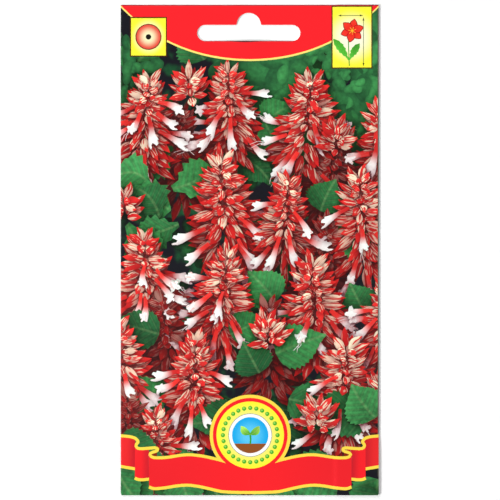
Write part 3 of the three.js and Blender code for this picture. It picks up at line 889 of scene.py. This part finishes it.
def depth_symbol(x, y):
    """The sign for sowing depth: a seed under the soil, and a young plant above it."""
    bar(x - SOIL_HALF, y - SOIL_HALF, x + SOIL_HALF, y - 1.9, SOIL)
    disc(x + 2.2, y - 3.6, 0.6, SOWN_SEED, count=16)
    sprig(x - 1.6, y - 1.9, 5.6)
    arrow((x + 2.2, y + 1.8), (x + 2.2, y - 1.8))


def spacing_symbol(x, y):
    """The sign for the distance between plants."""
    bar(x - SOIL_HALF, y - SOIL_HALF, x + SOIL_HALF, y - 3.1, SOIL)
    sprig(x - 2.9, y - 3.1, 4.8)
    sprig(x + 2.9, y - 3.1, 4.8)
    arrow((x - 2.9, y + 3.9), (x + 2.9, y + 3.9))


def water_symbol(x, y):
    """The sign for watering: a drop."""
    side = [(0, 4.3), (-0.9, 2.4), (-2.0, 0.5), (-2.8, -1.4), (-2.3, -3.3), (0, -4.3)]
    drop = smooth_line(side + [(-p, q) for p, q in side[-2::-1]])[:-1] + (x, y)
    paint.flat(drop, WATER, WATER, WATER_GLINT, RADIAL, (x - 3.6, y - 1.2, 1, 0, 7.2, 5.4, 0))


def calendar(left, foot):
    """A sowing calendar: a head row and a row for each season's bar, a column for each month."""
    right, top = left + MONTHS * MONTH_WIDE, foot + (len(SEASONS) + 1) * ROW_TALL
    bar(left - ROW_TALL, foot, right, top, TINT)
    bar(left - ROW_TALL, top - ROW_TALL, right, top, PINE)
    for row, (start, end, colour) in enumerate(SEASONS):
        y, sown = foot + row * ROW_TALL, left + start * MONTH_WIDE + SEASON_INSET
        over = left + end * MONTH_WIDE - SEASON_INSET
        bar(sown, y + SEASON_ROW[0], over, y + SEASON_ROW[1], colour)
        disc(left - ROW_TALL / 2, y + ROW_TALL / 2, 1.1, colour, count=24)
    for k in range(MONTHS + 1):
        x = left + k * MONTH_WIDE
        bar(x - CALENDAR_LINE, foot, x + CALENDAR_LINE, top, RULE)
    for k in range(len(SEASONS) + 1):
        y = foot + k * ROW_TALL
        bar(left - ROW_TALL, y - CALENDAR_LINE, right, y + CALENDAR_LINE, RULE)
    framed(left - ROW_TALL, foot, right, top, CALENDAR_FRAME, PINE)


back_left, flap_foot, sheet_top = BACK_EDGE_A - BEYOND, FLAP_END - BEYOND, HEIGHT + BEYOND
bar(back_left, flap_foot, -PRINT_EDGE, sheet_top, BACK_PAPER)
bar(PRINT_EDGE, flap_foot, SEAM_EDGE_A + BEYOND, sheet_top, CLEAN)
bar(-PRINT_EDGE, flap_foot, PRINT_EDGE, -FLAP_PRINT, CLEAN)
header(back_left, -PRINT_EDGE, BACK_MIDDLE)
for k, symbol in enumerate((sun_symbol, depth_symbol, spacing_symbol, water_symbol)):
    x = BACK_MIDDLE + (k - 1.5) * SIGN_PITCH
    soft_panel(x - SIGN_HALF, SIGN_Y - SIGN_HALF, x + SIGN_HALF, SIGN_Y + SIGN_HALF)
    symbol(x, SIGN_Y)
column_left, column_right = BACK_MIDDLE - BACK_HALF, BACK_MIDDLE + BACK_HALF
calendar(column_left + ROW_TALL, CALENDAR_FOOT)
for k in range(NOTES):
    y = NOTE_TOP - k * NOTE_STEP
    bar(column_left, y - NOTE_LINE, column_right, y + NOTE_LINE, RULE)
bar(column_left, BAND_LINE, column_right, BAND_TOP, HEADER_RED)
bar(column_left, BAND_FOOT, column_right, BAND_LINE, EDGING)

frames, inks, looks, near = paint.rows()
ids = np.zeros((INK_CELLS[1], INK_CELLS[0]), np.int32)
for k in range(picture_last):
    fill(ids, paint.outlines[k], k)

# Each piece of the picture darkens where nearer pieces rise beside it, most towards the light:
# the share of the rises (mm up within mm along) in eight directions, from a coarser grid
COARSE = 2
RISES = [(0.45, 1.6), (1.1, 3.2), (2.4, 7.0), (4.2, 14.0)]
LIGHT_TURN, TOWARDS_LIGHT, DEEPEST, DARKENING = np.radians(125), 0.6, 2.2, 0.92
BEHIND_ALL = 4.0
depth = near[ids[::COARSE, ::COARSE]]
depth[ids[::COARSE, ::COARSE] < picture_first] = near[picture_first:picture_last].min() - BEHIND_ALL
shaded, total = np.zeros_like(depth), 0.0
for radius, height in RISES:
    for turn in np.arange(8) * np.pi / 4:
        way = np.array([np.sin(turn), np.cos(turn)])
        shift = np.round(way * radius / (PITCH_OF_INK * COARSE)).astype(int)
        weight = 1 + TOWARDS_LIGHT * np.cos(turn - LIGHT_TURN)
        rise = np.roll(depth, -shift, axis=(0, 1)) - depth
        shaded += weight * np.clip(rise / height, 0, 1)
        total += weight
shaded = np.clip(shaded / total * DEEPEST, 0, 1)
for k in range(picture_last, len(paint.outlines)):
    fill(ids, paint.outlines[k], k)


# The sheet's mesh: the blank is cut into triangles along its edges, its fold lines and the edges
# of the ink, then rolled into the packet. The bare inside is the same blank with coarser cuts, and
# narrow walls of bare paper close the cut edges.
def line(p, q, count):
    """Points along a straight line, with both its ends."""
    return np.asarray(p) + (np.asarray(q) - np.asarray(p)) * np.linspace(0, 1, count)[:, None]


def fold_lines():
    """Lines that the mesh has to follow: six facets round each side fold and the bottom fold, and
    up the small step where the front climbs over the tucked strip."""
    facets, rows = 6, 60
    lines = []
    for k in range(facets + 1):
        past = FOLD_X + FOLD_ARC * k / facets
        lines.append(line((-past, BACK_START), (-past, HEIGHT), rows))
        lines.append(line((past, BACK_START), (past, HEIGHT if k < facets else SEAM_TOP), rows))
        v = FLAP_FOLD_Y - FLAP_ARC * k / facets
        lines.append(line((-FLAP_HALF, v), (FLAP_HALF, v), 30))
    for x in np.linspace(*SEAM_STEP, 5):
        lines.append(line((x, FLAP_FOLD_Y), (x, HEIGHT), rows))
    return lines


def grid(low, high, step):
    """Points of a staggered grid over a box of the blank."""
    xs, ys = (np.arange(low[i] + step / 2, high[i], step) for i in (0, 1))
    x, y = np.meshgrid(xs, ys)
    x = x + (np.arange(len(ys)) % 2)[:, None] * step / 2
    points = np.column_stack([x.ravel(), y.ravel()])
    return points[points[:, 0] < high[0]]


def inside_outline(points, outline):
    """Whether points lie inside an outline, by counting the sides to their right."""
    p, q = outline, np.roll(outline, -1, axis=0)
    x, y = points[:, :1], points[:, 1:]
    crossed = (p[:, 1] <= y) != (q[:, 1] <= y)
    with np.errstate(divide="ignore", invalid="ignore"):
        at = p[:, 0] + (y - p[:, 1]) / (q[:, 1] - p[:, 1]) * (q[:, 0] - p[:, 0])
    return (crossed & (at > x)).sum(1) % 2 == 1


def on_paper(points):
    """Whether points of the blank are paper, clear of the two slots."""
    kept = inside_outline(points, blank)
    for slot in (front_slot, back_slot):
        close = np.flatnonzero(np.abs(points[:, 0] - slot[:, 0].mean()) < SLOT_WIDE)
        kept[close] &= ~inside_outline(points[close], slot)
    return kept


def triangles(chains, loose):
    """Triangles of the blank that hold every chain's sides, as points and corner numbers. Points
    within a ten-thousandth of a mm become one."""
    points, sides, count = [loose], [], len(loose)
    for chain in chains:
        points.append(chain)
        sides.append(np.column_stack([np.arange(len(chain) - 1), np.arange(1, len(chain))]) + count)
        count += len(chain)
    sides = np.concatenate(sides)
    out = delaunay_2d_cdt(
        [p.tolist() for p in np.concatenate(points)], sides.tolist(), [], 0, 1e-4, False
    )
    at = np.array([tuple(p) for p in out[0]])
    tris = np.array(out[2])
    tris = tris[on_paper(at[tris].mean(1))]
    first, second = at[tris[:, 1]] - at[tris[:, 0]], at[tris[:, 2]] - at[tris[:, 0]]
    area = first[:, 0] * second[:, 1] - first[:, 1] * second[:, 0]
    tris[area < 0] = tris[area < 0][:, ::-1]
    used, tris = np.unique(tris, return_inverse=True)
    return at[used], tris.reshape(-1, 3)


def rim_of(tris):
    """The sides that only one triangle has, in that triangle's direction."""
    sides = np.concatenate([tris[:, [0, 1]], tris[:, [1, 2]], tris[:, [2, 0]]])
    key = np.sort(sides, axis=1)
    _, first, times = np.unique(key, axis=0, return_index=True, return_counts=True)
    return sides[first[times == 1]]


def visible_sides():
    """The sides of ink shapes that show, from the picture's first piece on, as chains of two
    points: a side shows where the grid holds its own shape just inside it."""
    chains = []
    for k in range(picture_first, len(paint.outlines)):
        outline = paint.outlines[k]
        ends = np.roll(outline, -1, axis=0)
        run = ends - outline
        inward = np.column_stack([-run[:, 1], run[:, 0]])
        inward /= np.maximum(np.linalg.norm(inward, axis=1, keepdims=True), 1e-9)
        turning = (outline[:, 0] * ends[:, 1] - ends[:, 0] * outline[:, 1]).sum()
        inward *= np.sign(turning)
        shows = np.zeros(len(outline), bool)
        for share in (0.15, 0.5, 0.85):
            just_inside = outline + run * share + inward * PITCH_OF_INK * 1.2
            shows |= ids[cells_at(just_inside)] == k
        chains += list(np.stack([outline[shows], ends[shows]], axis=1))
    return chains


# Between those lines the mesh has loose points, this far apart on the front and on its inside, on
# the flat panels, where the foot is lifted (a little beyond it) and on the lip below the slot
FINE, FINE_INSIDE, FLAT, LIFTED, ON_LIP = 1.3, 2.6, 4.0, 1.6, 1.0
LIFT_LOW, LIFT_HIGH, LIP_HALF = LIFT[0] - 1, LIFT[1] + 1, 14
rims = [
    np.concatenate([outline, outline[:1]])
    for outline in (spaced(blank, 3.0), spaced(front_slot, 0.8), spaced(back_slot, 3.0))
]
folds = fold_lines()
front_low, front_high = (-FOLD_X, FLAP_FOLD_Y), (FOLD_X, HEIGHT)
lift_zone = [
    grid((BACK_EDGE_A, LIFT_LOW), (BACK_A, LIFT_HIGH), LIFTED),
    grid((SEAM_A, LIFT_LOW), (SEAM_EDGE_A, LIFT_HIGH), LIFTED),
]
loose = np.concatenate(lift_zone + [
    grid(front_low, front_high, FINE),
    grid((BACK_EDGE_A, BACK_START), (BACK_A, HEIGHT), FLAT),
    grid((-FLAP_HALF, FLAP_END), (FLAP_HALF, FLAP_FOLD_Y - FLAP_ARC), FLAT),
    grid((SEAM_A, BACK_START), (SEAM_EDGE_A, SEAM_TOP), FLAT),
])
outer_at, outer = triangles(rims + folds + visible_sides(), loose)
rim = rim_of(outer)
loose = np.concatenate(lift_zone + [
    grid(front_low, front_high, FINE_INSIDE),
    grid((-LIP_HALF, LIP_FROM), (LIP_HALF, SLOT_Y), ON_LIP),
])
inner_at, inner = triangles(folds + [outer_at[side] for side in rim], loose)


def matching(points, wanted):
    """The number in points of each wanted point, found in the order of one key: the row's place
    times a million plus the place along it, both to a thousandth."""
    row = 1e6
    order = np.lexsort(np.round(points, 3).T)
    keys, want = np.round(points[order], 3), np.round(wanted, 3)
    key = keys[:, 1] * row + keys[:, 0]
    return order[np.searchsorted(key, want[:, 1] * row + want[:, 0] - 5e-4)]


def sheet_mesh():
    """The closed sheet: outer face, inner face turned over, and a wall along every cut edge."""
    points, normals = place(*outer_at.T)
    under, under_normals = place(*inner_at.T)
    verts = np.concatenate([points + normals * PAPER / 2, under - under_normals * PAPER / 2])
    a, b = rim.T
    inner_of = np.full(len(outer_at), -1)
    ends = np.unique(rim)
    inner_of[ends] = matching(inner_at, outer_at[ends])
    c, d = inner_of[b] + len(outer_at), inner_of[a] + len(outer_at)
    walls = np.concatenate([np.column_stack([b, a, d]), np.column_stack([b, d, c])])
    creases = np.concatenate([np.column_stack([a, b]), np.column_stack([c, d])])
    faces = np.concatenate([outer, inner[:, ::-1] + len(outer_at), walls])
    return verts, faces, len(walls), creases


def triangle_mesh(name, verts, faces):
    """A smooth mesh of triangles, filled from whole arrays in mm."""
    made = bpy.data.meshes.new(name)
    made.vertices.add(len(verts))
    made.vertices.foreach_set("co", (verts * MM).ravel())
    made.loops.add(faces.size)
    made.loops.foreach_set("vertex_index", faces.ravel())
    made.polygons.add(len(faces))
    made.polygons.foreach_set("loop_start", np.arange(0, faces.size, 3))
    made.polygons.foreach_set("loop_total", np.full(len(faces), 3))
    made.polygons.foreach_set("use_smooth", np.ones(len(faces), bool))
    made.update(calc_edges=True)
    return made


verts, faces, wall_count, creases = sheet_mesh()
mesh = triangle_mesh("packet_sheet_paper", verts, faces)
number = np.arange(len(faces))
mesh.polygons.foreach_set("use_smooth", number < len(faces) - wall_count)
mesh.polygons.foreach_set("material_index", (number >= len(outer)).astype(np.int32))
mesh.validate()


def pair_keys(pairs):
    """One number for each pair of vertex numbers, whichever comes first."""
    return np.sort(pairs, axis=1) @ (len(verts), 1)


edge_ends = np.empty(len(mesh.edges) * 2, np.int64)
mesh.edges.foreach_get("vertices", edge_ends)
sharp = np.isin(pair_keys(edge_ends.reshape(-1, 2)), pair_keys(creases))
mesh.edges.foreach_set("use_edge_sharp", sharp)

# Each corner of a triangle keeps its shape's inks and looks, its own place in the shape, a number
# from 0 to 1 that varies the streaks from shape to shape, and the light there, which is read a
# little inwards from the corner
LIGHT_FROM, INWARDS, SCATTER = np.array([-0.5, 0.87]), 0.35, 0.618
corner_points = outer_at[outer.ravel()]
centre = outer_at[outer].mean(1)
shape_of_corner = np.repeat(ids[cells_at(centre)], 3)
u, w = place_in(frames[shape_of_corner], corner_points)
u_clear = np.clip(u, 0, 1)[:, None]
tinted = inks[shape_of_corner]
body = tinted[:, :3] + (tinted[:, 3:6] - tinted[:, :3]) * blend(u_clear, 0, 1)
nudged = corner_points + (np.repeat(centre, 3, axis=0) - corner_points) * INWARDS
rows, columns = cells_at(nudged)
dark = shaded[rows // COARSE, columns // COARSE]
in_picture = (shape_of_corner >= picture_first) & (shape_of_corner < picture_last)
across = np.column_stack([-frames[:, 3], frames[:, 2]]) @ LIGHT_FROM
light = 1 + looks[shape_of_corner, 3] * w * across[shape_of_corner]
light = np.where(in_picture, light * (1 - DARKENING * dark), 1.0)
light = bounced(light, tinted)
MAP_FRONT, MAP_INSIDE, MAP_WALLS = (0.002, 0.90), (0.915, 0.975), (0.985, 0.997)
MAP_FOOT, MAP_TALL = 0.003, 0.994


def map_of(points, across):
    """The flat blank as a map, with a between two limits across it, and v from its foot to its
    top."""
    share = (points - (BACK_EDGE_A, FLAP_END)) / (SEAM_EDGE_A - BACK_EDGE_A, HEIGHT - FLAP_END)
    return share * (across[1] - across[0], MAP_TALL) + (across[0], MAP_FOOT)


def wall_map(count):
    """A small box of the map for each wall, up a narrow column: its two triangles share it."""
    near, far = MAP_WALLS
    halves = []
    for across, up in (([near, near, far], [0.15, 0.85, 0.85]), ([near, far, far], [0.15, 0.85, 0.15])):
        step = (np.arange(count)[:, None] + np.array([up])) / count
        halves.append(np.stack([np.broadcast_to(across, (count, 3)), step], -1))
    return np.concatenate(halves).reshape(-1, 2)


def corner_layer(name, values):
    """Stores a value for each face corner, black inside the packet and on the cut edges."""
    layer = mesh.attributes.new(name, "FLOAT_COLOR", "CORNER")
    full = np.zeros((len(faces) * 3, 4), np.float32)
    full[:, 3] = 1
    full[:len(values), :values.shape[1]] = values
    layer.data.foreach_set("color", full.ravel())


look_of_corner = looks[shape_of_corner]
seed_of_corner = (shape_of_corner * SCATTER) % 1
corner_layer("ink_body", body * light)
corner_layer("ink_second", tinted[:, 6:9] * light)
corner_layer("ink_place", np.column_stack([u, w * 0.5 + 0.5, seed_of_corner, look_of_corner[:, 5]]))
corner_layer("ink_look", look_of_corner[:, [0, 1, 2, 4]])
flat_map = mesh.uv_layers.new(name="OFBake")
flat_map.uv.foreach_set("vector", np.concatenate([
    map_of(corner_points, MAP_FRONT),
    map_of(inner_at[inner[:, ::-1].ravel()], MAP_INSIDE),
    wall_map(wall_count // 2),
]).astype(np.float32).ravel())


# The materials are node trees, written as sums and products of the values that sockets give
class Value:
    """A shader value: a socket that Python's operators turn into Math nodes. One without a socket
    only makes nodes."""

    def __init__(self, tree, source):
        self.tree, self.source = tree, source

    def node(self, kind, settings=(), **inputs):
        """Adds any node: its settings first, then the values or links of its sockets."""
        made = self.tree.nodes.new(kind)
        for name, value in dict(settings).items():
            setattr(made, name, value)
        for name, value in inputs.items():
            key = int(name[1:]) if name[0] == "i" and name[1:].isdigit() else name.replace("_", " ")
            socket = made.inputs[key]
            if isinstance(value, Value):
                self.tree.links.new(value.source, socket)
            elif isinstance(value, bpy.types.NodeSocket):
                self.tree.links.new(value, socket)
            else:
                socket.default_value = value
        return made

    def math(self, operation, other=0.0, third=0.0):
        """One Math node on this value and up to two more."""
        made = self.node("ShaderNodeMath", {"operation": operation}, i0=self, i1=other, i2=third)
        return Value(self.tree, made.outputs[0])

    def __add__(self, other):
        return self.math("ADD", other)

    def __sub__(self, other):
        return self.math("SUBTRACT", other)

    def __mul__(self, other):
        return self.math("MULTIPLY", other)

    def __rsub__(self, other):
        return (self * -1.0) + other

    __radd__, __rmul__ = __add__, __mul__

    def step(self, start, end):
        """Smooth step from 0 at start to 1 at end."""
        smooth = {"interpolation_type": "SMOOTHSTEP"}
        made = self.node("ShaderNodeMapRange", smooth, Value=self, From_Min=start, From_Max=end)
        return Value(self.tree, made.outputs[0])


def start_material(name):
    """A new material, a value that makes its nodes, and its Principled shader."""
    material = bpy.data.materials.new(name)
    material.use_nodes = True
    tree = material.node_tree
    shader = tree.nodes["Principled BSDF"]
    return material, Value(tree, None), shader


def printed_paper():
    """Satin coated paper under four-colour ink. The two inks of a shape are mixed by streaks that
    run along it, by the veins of a leaf, or by broad soft clouds where the picture is out of
    focus, and all of it is mottled a little."""
    material, make, shader = start_material("printed_satin_paper")
    tree = material.node_tree
    read = {}
    for name in ("ink_body", "ink_second", "ink_place", "ink_look"):
        read[name] = make.node("ShaderNodeAttribute", {"attribute_name": name})
    place_parts = make.node("ShaderNodeSeparateXYZ", Vector=read["ink_place"].outputs["Vector"])
    look_parts = make.node("ShaderNodeSeparateXYZ", Vector=read["ink_look"].outputs["Vector"])
    u, w, seed = (Value(tree, place_parts.outputs[i]) for i in range(3))
    streaks, veins, mottling = (Value(tree, look_parts.outputs[i]) for i in range(3))
    blur = Value(tree, read["ink_look"].outputs["Alpha"])
    w = w * 2.0 - 1.0
    w_size = w.math("ABSOLUTE")
    spot = make.node("ShaderNodeCombineXYZ", X=u * 0.9 + seed * 31.0, Y=w * 2.0 + seed * 17.0, Z=seed * 9.0)
    noise = make.node("ShaderNodeTexNoise", Vector=spot.outputs[0], Scale=1.5, Detail=1.5, Roughness=0.55)
    band = Value(tree, noise.outputs["Fac"])
    margin = w_size.step(0.6, 0.86) * streaks * 0.3
    amount = band + margin + streaks * 0.2 - u.step(0.6, 1.0) * 0.2
    streak = amount.step(0.60, 0.67) * streaks.step(0.0, 0.2)
    slant = (u * 7.0 - w_size * 2.4).math("PINGPONG", 0.5)
    vein = (1.0 - slant.step(0.0, 0.16)) * 0.6 + (1.0 - w_size.step(0.02, 0.09))
    place_mm = make.node("ShaderNodeTexCoord")
    cloud = make.node("ShaderNodeTexNoise", Vector=place_mm.outputs["Object"], Scale=130.0, Detail=2.0)
    cloud = Value(tree, cloud.outputs["Fac"])
    radial = Value(tree, read["ink_place"].outputs["Alpha"])
    from_middle = ((u * 2.0 - 1.0) * (u * 2.0 - 1.0) + w * w).math("SQRT")
    glow = (1.0 - from_middle.step(0.25, 0.98)) * radial
    mask = (streak + vein * veins + cloud.step(0.52, 0.66) * blur + glow).math("MINIMUM", 1.0)
    inks = {"i6": read["ink_body"].outputs["Color"], "i7": read["ink_second"].outputs["Color"]}
    mixed = make.node("ShaderNodeMix", {"data_type": "RGBA"}, i0=mask, **inks)
    grain = make.node("ShaderNodeTexNoise", Vector=place_mm.outputs["Object"], Scale=900.0, Detail=2.0)
    tone = 1.0 + (Value(tree, grain.outputs["Fac"]) - 0.5) * mottling * 1.2 + (cloud - 0.5) * veins * 4.0
    rounding = (mottling + streaks).step(0.0, 0.2) * 0.22 - veins
    quilting = (slant - 0.25) * veins * 2.0
    round_tone = tone * (1.0 - w * w * rounding + quilting)
    scaled = make.node("ShaderNodeVectorMath", {"operation": "SCALE"}, i0=mixed.outputs[2], Scale=round_tone)
    tree.links.new(scaled.outputs[0], shader.inputs["Base Color"])
    shader.inputs["Roughness"].default_value = 0.34
    shader.inputs["Specular IOR Level"].default_value = 0.4
    return material


def cloudy(make, scale, detail=3.0, stretch=(1.0, 1.0, 1.0)):
    """Noise from 0 to 1 in the object's own place, drawn out by a stretch along each axis."""
    here = make.node("ShaderNodeTexCoord")
    turned = make.node("ShaderNodeMapping", Vector=here.outputs["Object"], Scale=stretch)
    made = make.node("ShaderNodeTexNoise", Vector=turned.outputs[0], Scale=scale, Detail=detail)
    return Value(make.tree, made.outputs["Fac"])


def two_tones(make, shader, amount, first, second):
    """The shader's colour goes from the first tone to the second with the amount."""
    mixed = make.node("ShaderNodeMix", {"data_type": "RGBA"}, i0=amount, i6=(*first, 1), i7=(*second, 1))
    make.tree.links.new(mixed.outputs[2], shader.inputs["Base Color"])


def relief(make, shader, height, depth):
    """Bumps of the given depth in metres where the height goes from 0 to 1."""
    made = make.node("ShaderNodeBump", Height=height, Distance=depth, Strength=1.0)
    make.tree.links.new(made.outputs["Normal"], shader.inputs["Normal"])


def bare_paper():
    """The sheet's uncoated white inside and its cut edges: felted fibres, a little cloudy."""
    material, make, shader = start_material("bare_white_paper")
    fibres = cloudy(make, 1400.0, 4.0, (1.0, 0.25, 1.0))
    clouds = cloudy(make, 90.0)
    amount = (fibres * 0.6 + clouds * 0.4).step(0.35, 0.65)
    two_tones(make, shader, amount, ink(248, 246, 240), ink(232, 229, 219))
    make.tree.links.new((fibres * 0.2 + 0.75).source, shader.inputs["Roughness"])
    relief(make, shader, fibres, 0.02 * MM)
    return material


def in_scene(name, data):
    """A new object in the scene, with this data."""
    made = bpy.data.objects.new(name, data)
    bpy.context.collection.objects.link(made)
    return made


sheet = in_scene("packet_sheet_paper", mesh)
mesh.materials.append(printed_paper())
mesh.materials.append(bare_paper())
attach(sheet, "root")
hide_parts("packet_sheet")


# Three strips of dispersion glue shut the packet: along the side seam, across the header below the
# slot and under the bottom flap. They were rolled on wet, so they dried thin, yellowish and streaky.
def dried_glue(name, stretch):
    """Clear yellowish glue with long roller streaks and small milky clouds."""
    material, make, shader = start_material(name)
    streaks = cloudy(make, 300.0, 3.0, stretch)
    clouds = cloudy(make, 160.0)
    amount = (streaks * 0.6 + clouds * 0.4).step(0.38, 0.62)
    two_tones(make, shader, amount, ink(236, 222, 184), ink(214, 192, 140))
    make.tree.links.new((clouds * 0.35 + 0.15).source, shader.inputs["Roughness"])
    relief(make, shader, streaks, 0.04 * MM)
    return material


ALONG, ACROSS = (1.0, 0.06, 1.0), (0.06, 1.0, 1.0)
GLUE = {"side_seam_glue": ALONG, "header_glue": ACROSS, "bottom_flap_glue": ACROSS}
for strip_name, stretch in GLUE.items():
    glue = dried_glue("dried_" + strip_name, stretch)
    frame["nodes"][strip_name].material_slots[0].material = glue

# The seeds are dry nutlets of salvia, loose over the foot of the pocket: egg-shaped and faintly
# three-sided, with a low keel, fine warts and a pale scar at the pointed end.
SEEDS = [f"seed_{number:02d}" for number in range(1, 17)]
SEED_HALF = np.array([1.5, 1.05, 0.8])
SEED_RINGS, SEED_SIDES = 26, 36


def seed_bed():
    """Each seed's middle and the directions of its length and width, from its solid: the length is
    the flat direction in which the corners spread most, towards the end where they are narrower."""
    middles, ways = [], []
    for name in SEEDS:
        corners = frame["nodes"][name].data.vertices
        at = np.empty(len(corners) * 3)
        corners.foreach_get("co", at)
        at = at.reshape(-1, 3) / MM
        middle = (at.min(0) + at.max(0)) / 2
        flat = (at - middle)[:, :2]
        way = np.linalg.svd(flat, full_matrices=False)[2][0]
        along, across = flat @ way, flat @ np.array([-way[1], way[0]])
        way = way * (-1 if np.sum(along * np.abs(across)) > 0 else 1)
        middles.append(middle)
        ways.append([[way[0], way[1], 0], [-way[1], way[0], 0], [0, 0, 1]])
    return np.array(middles), np.array(ways)


def seed_surface():
    """A nutlet on a grid of rings and sides. Its radius is the sine of the way from its blunt end to
    its point, less a taper, times 1 + 0.06 cos 3t for the three sides. A keel stands along its top,
    and warts are two crossed sine waves. Each row is one seed with its own waves."""
    way = np.linspace(0, np.pi, SEED_RINGS + 2)[1:-1, None]
    turn = np.linspace(0, 2 * np.pi, SEED_SIDES, endpoint=False)[None]
    phase = np.arange(len(SEEDS))[:, None, None] * 2.4
    along = -np.cos(way) + 0.05 * np.sin(way) ** 2
    taper = 1 - 0.28 * (along + 1) / 2 - 0.22 * np.clip(along, 0, 1) ** 3
    sides = 1 + 0.06 * np.cos(3 * turn + 0.5 * np.pi) + 0.05 * np.exp(-((turn - np.pi / 2) / 0.22) ** 2)
    warts = 0.014 * np.sin(9 * way + phase) * np.sin(11 * turn + 2 * phase)
    warts = warts + 0.008 * np.sin(17 * way - phase) * np.cos(19 * turn)
    out = np.sin(way) ** 0.9 * taper * sides + warts * np.sin(way)
    x = np.broadcast_to(along + 0.03 * np.sin(phase) * np.sin(way) ** 2, out.shape)
    rings = np.stack([x, out * np.cos(turn), out * np.sin(turn)], -1).reshape(len(SEEDS), -1, 3)
    ends = np.broadcast_to([[-1.0, 0, 0], [1.03, 0, 0]], (len(SEEDS), 2, 3))
    points = np.concatenate([rings, ends], axis=1)
    low, high = points.min(1, keepdims=True), points.max(1, keepdims=True)
    return ((points - low) / (high - low) * 2 - 1) * SEED_HALF


def seed_faces():
    """Two triangles for each field of the grid, which closes round the seed, and a fan at each end."""
    ring, side = np.meshgrid(np.arange(SEED_RINGS - 1), np.arange(SEED_SIDES), indexing="ij")
    here, past = ring * SEED_SIDES, (side + 1) % SEED_SIDES
    a, b, c, d = here + side, here + past, here + SEED_SIDES + past, here + SEED_SIDES + side
    body = np.concatenate([np.stack([a, b, c], -1), np.stack([a, c, d], -1)]).reshape(-1, 3)
    around = np.arange(SEED_SIDES)
    onward = (around + 1) % SEED_SIDES
    last, tail = (SEED_RINGS - 1) * SEED_SIDES, SEED_RINGS * SEED_SIDES
    blunt = np.column_stack([onward, around, np.full(SEED_SIDES, tail)])
    point = np.column_stack([last + around, last + onward, np.full(SEED_SIDES, tail + 1)])
    return np.concatenate([body, blunt, point])


def seed_coat():
    """Dull dark brown, mottled and finely pitted, and paler at the scar on the pointed end."""
    material, make, shader = start_material("seed_coat")
    scar = make.node("ShaderNodeAttribute", {"attribute_name": "scar"})
    mottle = cloudy(make, 1600.0, 4.0)
    pits = cloudy(make, 5200.0, 2.0)
    tone = mottle.step(0.38, 0.62) * 0.6 + Value(make.tree, scar.outputs["Fac"]).step(0.9, 1.0) * 0.6
    two_tones(make, shader, tone, (0.035, 0.018, 0.010), (0.19, 0.105, 0.055))
    make.tree.links.new((pits * 0.3 + 0.5).source, shader.inputs["Roughness"])
    relief(make, shader, pits, 0.03 * MM)
    return material


middles, ways = seed_bed()
nutlets = seed_surface()
per_seed = nutlets.shape[1]
scars = nutlets[:, :, 0] / SEED_HALF[0]
seed_points = nutlets @ ways + middles[:, None]
seed_tris = seed_faces() + np.arange(len(SEEDS))[:, None, None] * per_seed
seed_mesh = triangle_mesh("seeds", seed_points.reshape(-1, 3), seed_tris.reshape(-1, 3))
scar_layer = seed_mesh.attributes.new("scar", "FLOAT", "POINT")
scar_layer.data.foreach_set("value", scars.ravel().astype(np.float32))
seed_mesh.materials.append(seed_coat())
seed_object = in_scene("loose_seeds", seed_mesh)
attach(seed_object, "root")
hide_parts(*SEEDS)

# The stage: a plain pale table seen straight from above. A small key light low on the left draws
# the soft shadow along the right edge, and two wider fills open it up from the right and the top.
TABLE_SIZE, TABLE_PALE, TABLE_ROUGH, SKY_STRENGTH = 4, (0.93, 0.93, 0.93, 1), 0.9, 0.15
PHOTO_SIDE, PHOTO_MIDDLE = 155.05, (0.08, 0.03)
bpy.ops.mesh.primitive_plane_add(size=TABLE_SIZE)
floor = bpy.context.object
floor.name = "floor"
material, make, shader = start_material("pale_floor")
shader.inputs["Base Color"].default_value = TABLE_PALE
shader.inputs["Roughness"].default_value = TABLE_ROUGH
floor.data.materials.append(material)


def area_light(name, at, size, power):
    """A square soft light at a place, pointing at the packet."""
    light = bpy.data.lights.new(name, "AREA")
    light.shape, light.size, light.energy = "SQUARE", size, power
    holder = in_scene(name, light)
    holder.location = at
    holder.rotation_euler = holder.location.to_track_quat("Z", "Y").to_euler()


area_light("key_left", (-1.45, -0.5, 1.1), 0.5, 33)
area_light("fill_right", (1.4, -0.2, 1.0), 1.2, 13)
area_light("fill_upper_left", (-0.7, 1.4, 1.0), 0.8, 16)
world = bpy.data.worlds.new("studio")
world.use_nodes = True
sky = world.node_tree.nodes["Background"]
sky.inputs["Color"].default_value = (1, 1, 1, 1)
sky.inputs["Strength"].default_value = SKY_STRENGTH
bpy.context.scene.world = world
bpy.context.scene.view_settings.view_transform = "Standard"

# The camera looks straight down from where the picture's side spans that of the photo, in mm
camera = bpy.data.cameras.new("camera")
camera.lens, camera.sensor_width = 200, 36
holder = in_scene("camera", camera)
distance = PHOTO_SIDE * camera.lens / camera.sensor_width
holder.location = (PHOTO_MIDDLE[0] * MM, PHOTO_MIDDLE[1] * MM, distance * MM)
bpy.context.scene.camera = holder
